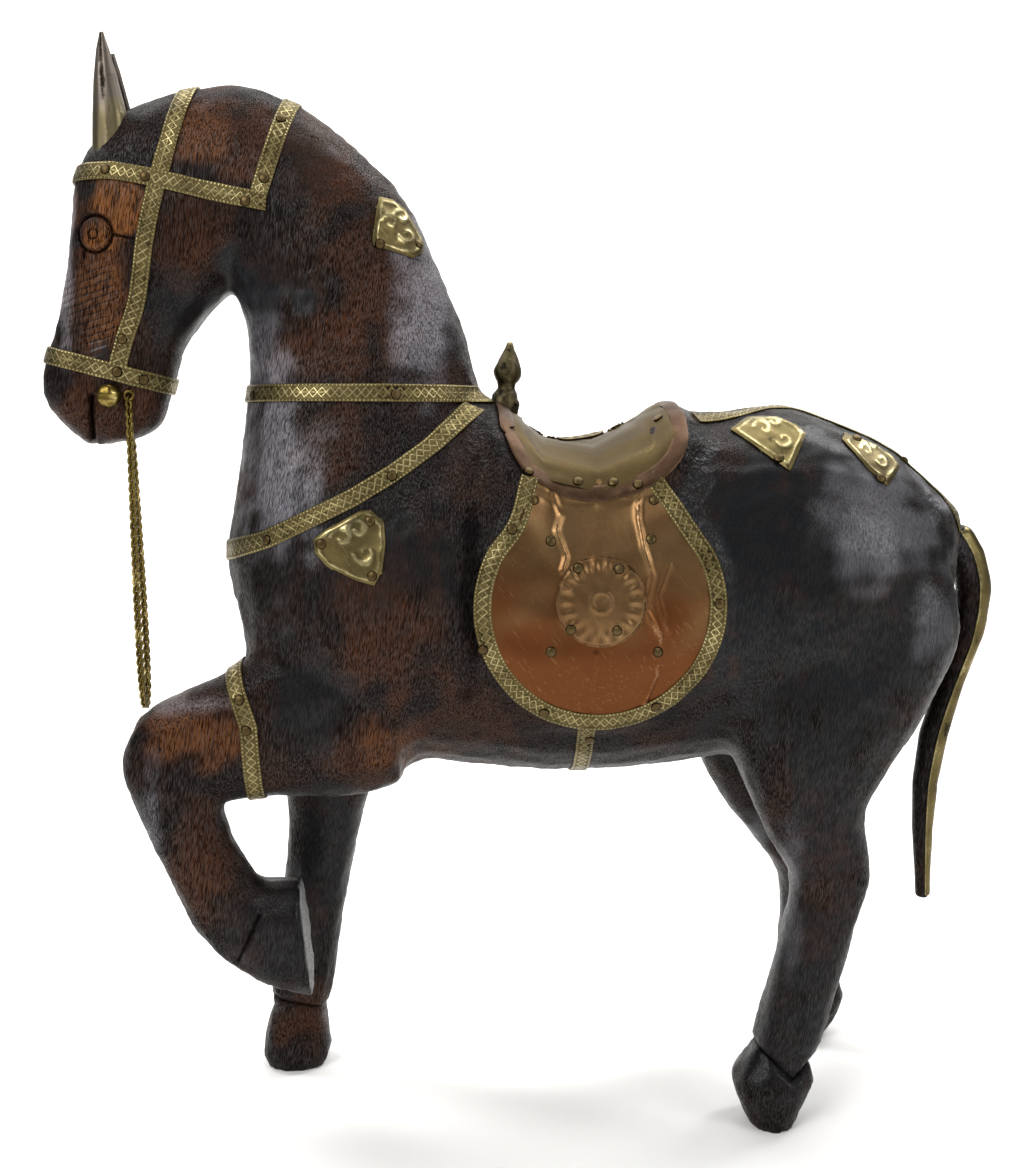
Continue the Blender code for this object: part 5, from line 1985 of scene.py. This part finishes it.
@dataclass
class Studio:
    """A plain pale floor and soft light."""

    floor_size: float = 9.0
    floor_tone: str = "#f4f3f1"
    sky: float = 0.15
    wall: float = 1.7
    bend: float = 0.5

    def build(self) -> None:
        """Makes the floor with its backdrop, the sky and the lights."""
        deselect()
        bpy.ops.mesh.primitive_plane_add(size=self.floor_size,
                                         location=(0, self.wall - self.floor_size / 2, 0))
        floor = bpy.context.object
        floor.name = "floor"
        bpy.ops.object.transform_apply(location=True)
        bpy.ops.object.mode_set(mode="EDIT")
        bpy.ops.mesh.select_all(action="DESELECT")
        bpy.ops.object.mode_set(mode="OBJECT")
        for edge in floor.data.edges:
            edge.select = all(floor.data.vertices[i].co.y > self.wall - 0.01 for i in edge.vertices)
        bpy.ops.object.mode_set(mode="EDIT")
        bpy.ops.mesh.select_mode(type="EDGE")
        for i in range(8):
            turn = math.radians(90 * (i + 0.5) / 8)
            reach = self.bend * math.radians(90 / 8)
            bpy.ops.mesh.extrude_region_move(TRANSFORM_OT_translate={
                "value": (0, reach * math.cos(turn), reach * math.sin(turn))})
        bpy.ops.mesh.extrude_region_move(TRANSFORM_OT_translate={"value": (0, 0, 3)})
        bpy.ops.object.mode_set(mode="OBJECT")
        bpy.ops.object.shade_smooth()
        material = bpy.data.materials.new("pale_floor")
        material.use_nodes = True
        shader = material.node_tree.nodes["Principled BSDF"]
        shader.inputs["Base Color"].default_value = linear(self.floor_tone)
        shader.inputs["Roughness"].default_value = 0.8
        floor.data.materials.append(material)
        world = bpy.context.scene.world or bpy.data.worlds.new("studio")
        bpy.context.scene.world = world
        world.use_nodes = True
        back = world.node_tree.nodes["Background"]
        back.inputs["Color"].default_value = (1.0, 1.0, 1.0, 1.0)
        back.inputs["Strength"].default_value = self.sky
        horse, backdrop = (0, 0, 0.2), (0, self.wall + self.bend, 0.7)
        self.lamp("key", (-0.9, -1.1, 1.15), horse, 0.7, 17)
        self.lamp("fill", (1.1, -1.0, 0.75), horse, 0.6, 8)
        self.lamp("top", (0.1, 0.2, 1.5), horse, 1.0, 14)
        self.lamp("backdrop_left", (-1.2, 0.7, 1.9), backdrop, 1.0, 45)
        self.lamp("backdrop_right", (1.2, 0.7, 1.9), backdrop, 1.0, 45)
        bpy.context.scene.view_settings.view_transform = "Standard"

    def lamp(self, name: str, place: Spot, target: Spot,
             size: float, power: float) -> None:
        """A square soft light.

        Args:
            name: The light's name.
            place: Where it stands.
            target: What it faces.
            size: The length of its side.
            power: Its power in watts.
        """
        data = bpy.data.lights.new(name, "AREA")
        data.size = size
        data.energy = power
        made = bpy.data.objects.new(name, data)
        made.location = place
        made.rotation_euler = (Vector(target) - Vector(place)).to_track_quat("-Z", "Y").to_euler()
        bpy.context.scene.collection.objects.link(made)


def main() -> None:
    """Builds the pieces in order."""
    logging.basicConfig(level=logging.INFO, format="%(message)s")
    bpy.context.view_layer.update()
    drawing = Drawing()
    camera = PhotoCamera(drawing)
    camera.build()
    horse = CarvedHorse(camera, drawing)
    horse.build()
    smith = Smith(horse.surface, drawing)
    for group in (Bridle(smith), NeckFittings(smith), Saddle(smith), CroupFittings(smith), LegBand(smith),
                  Tail(smith), Ears(drawing), Bit(), Finial(), Nails(camera, smith), Studio()):
        group.build()
        LOG.info("built %s", type(group).__name__)


if __name__ == "__main__":
    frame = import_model()
    main()
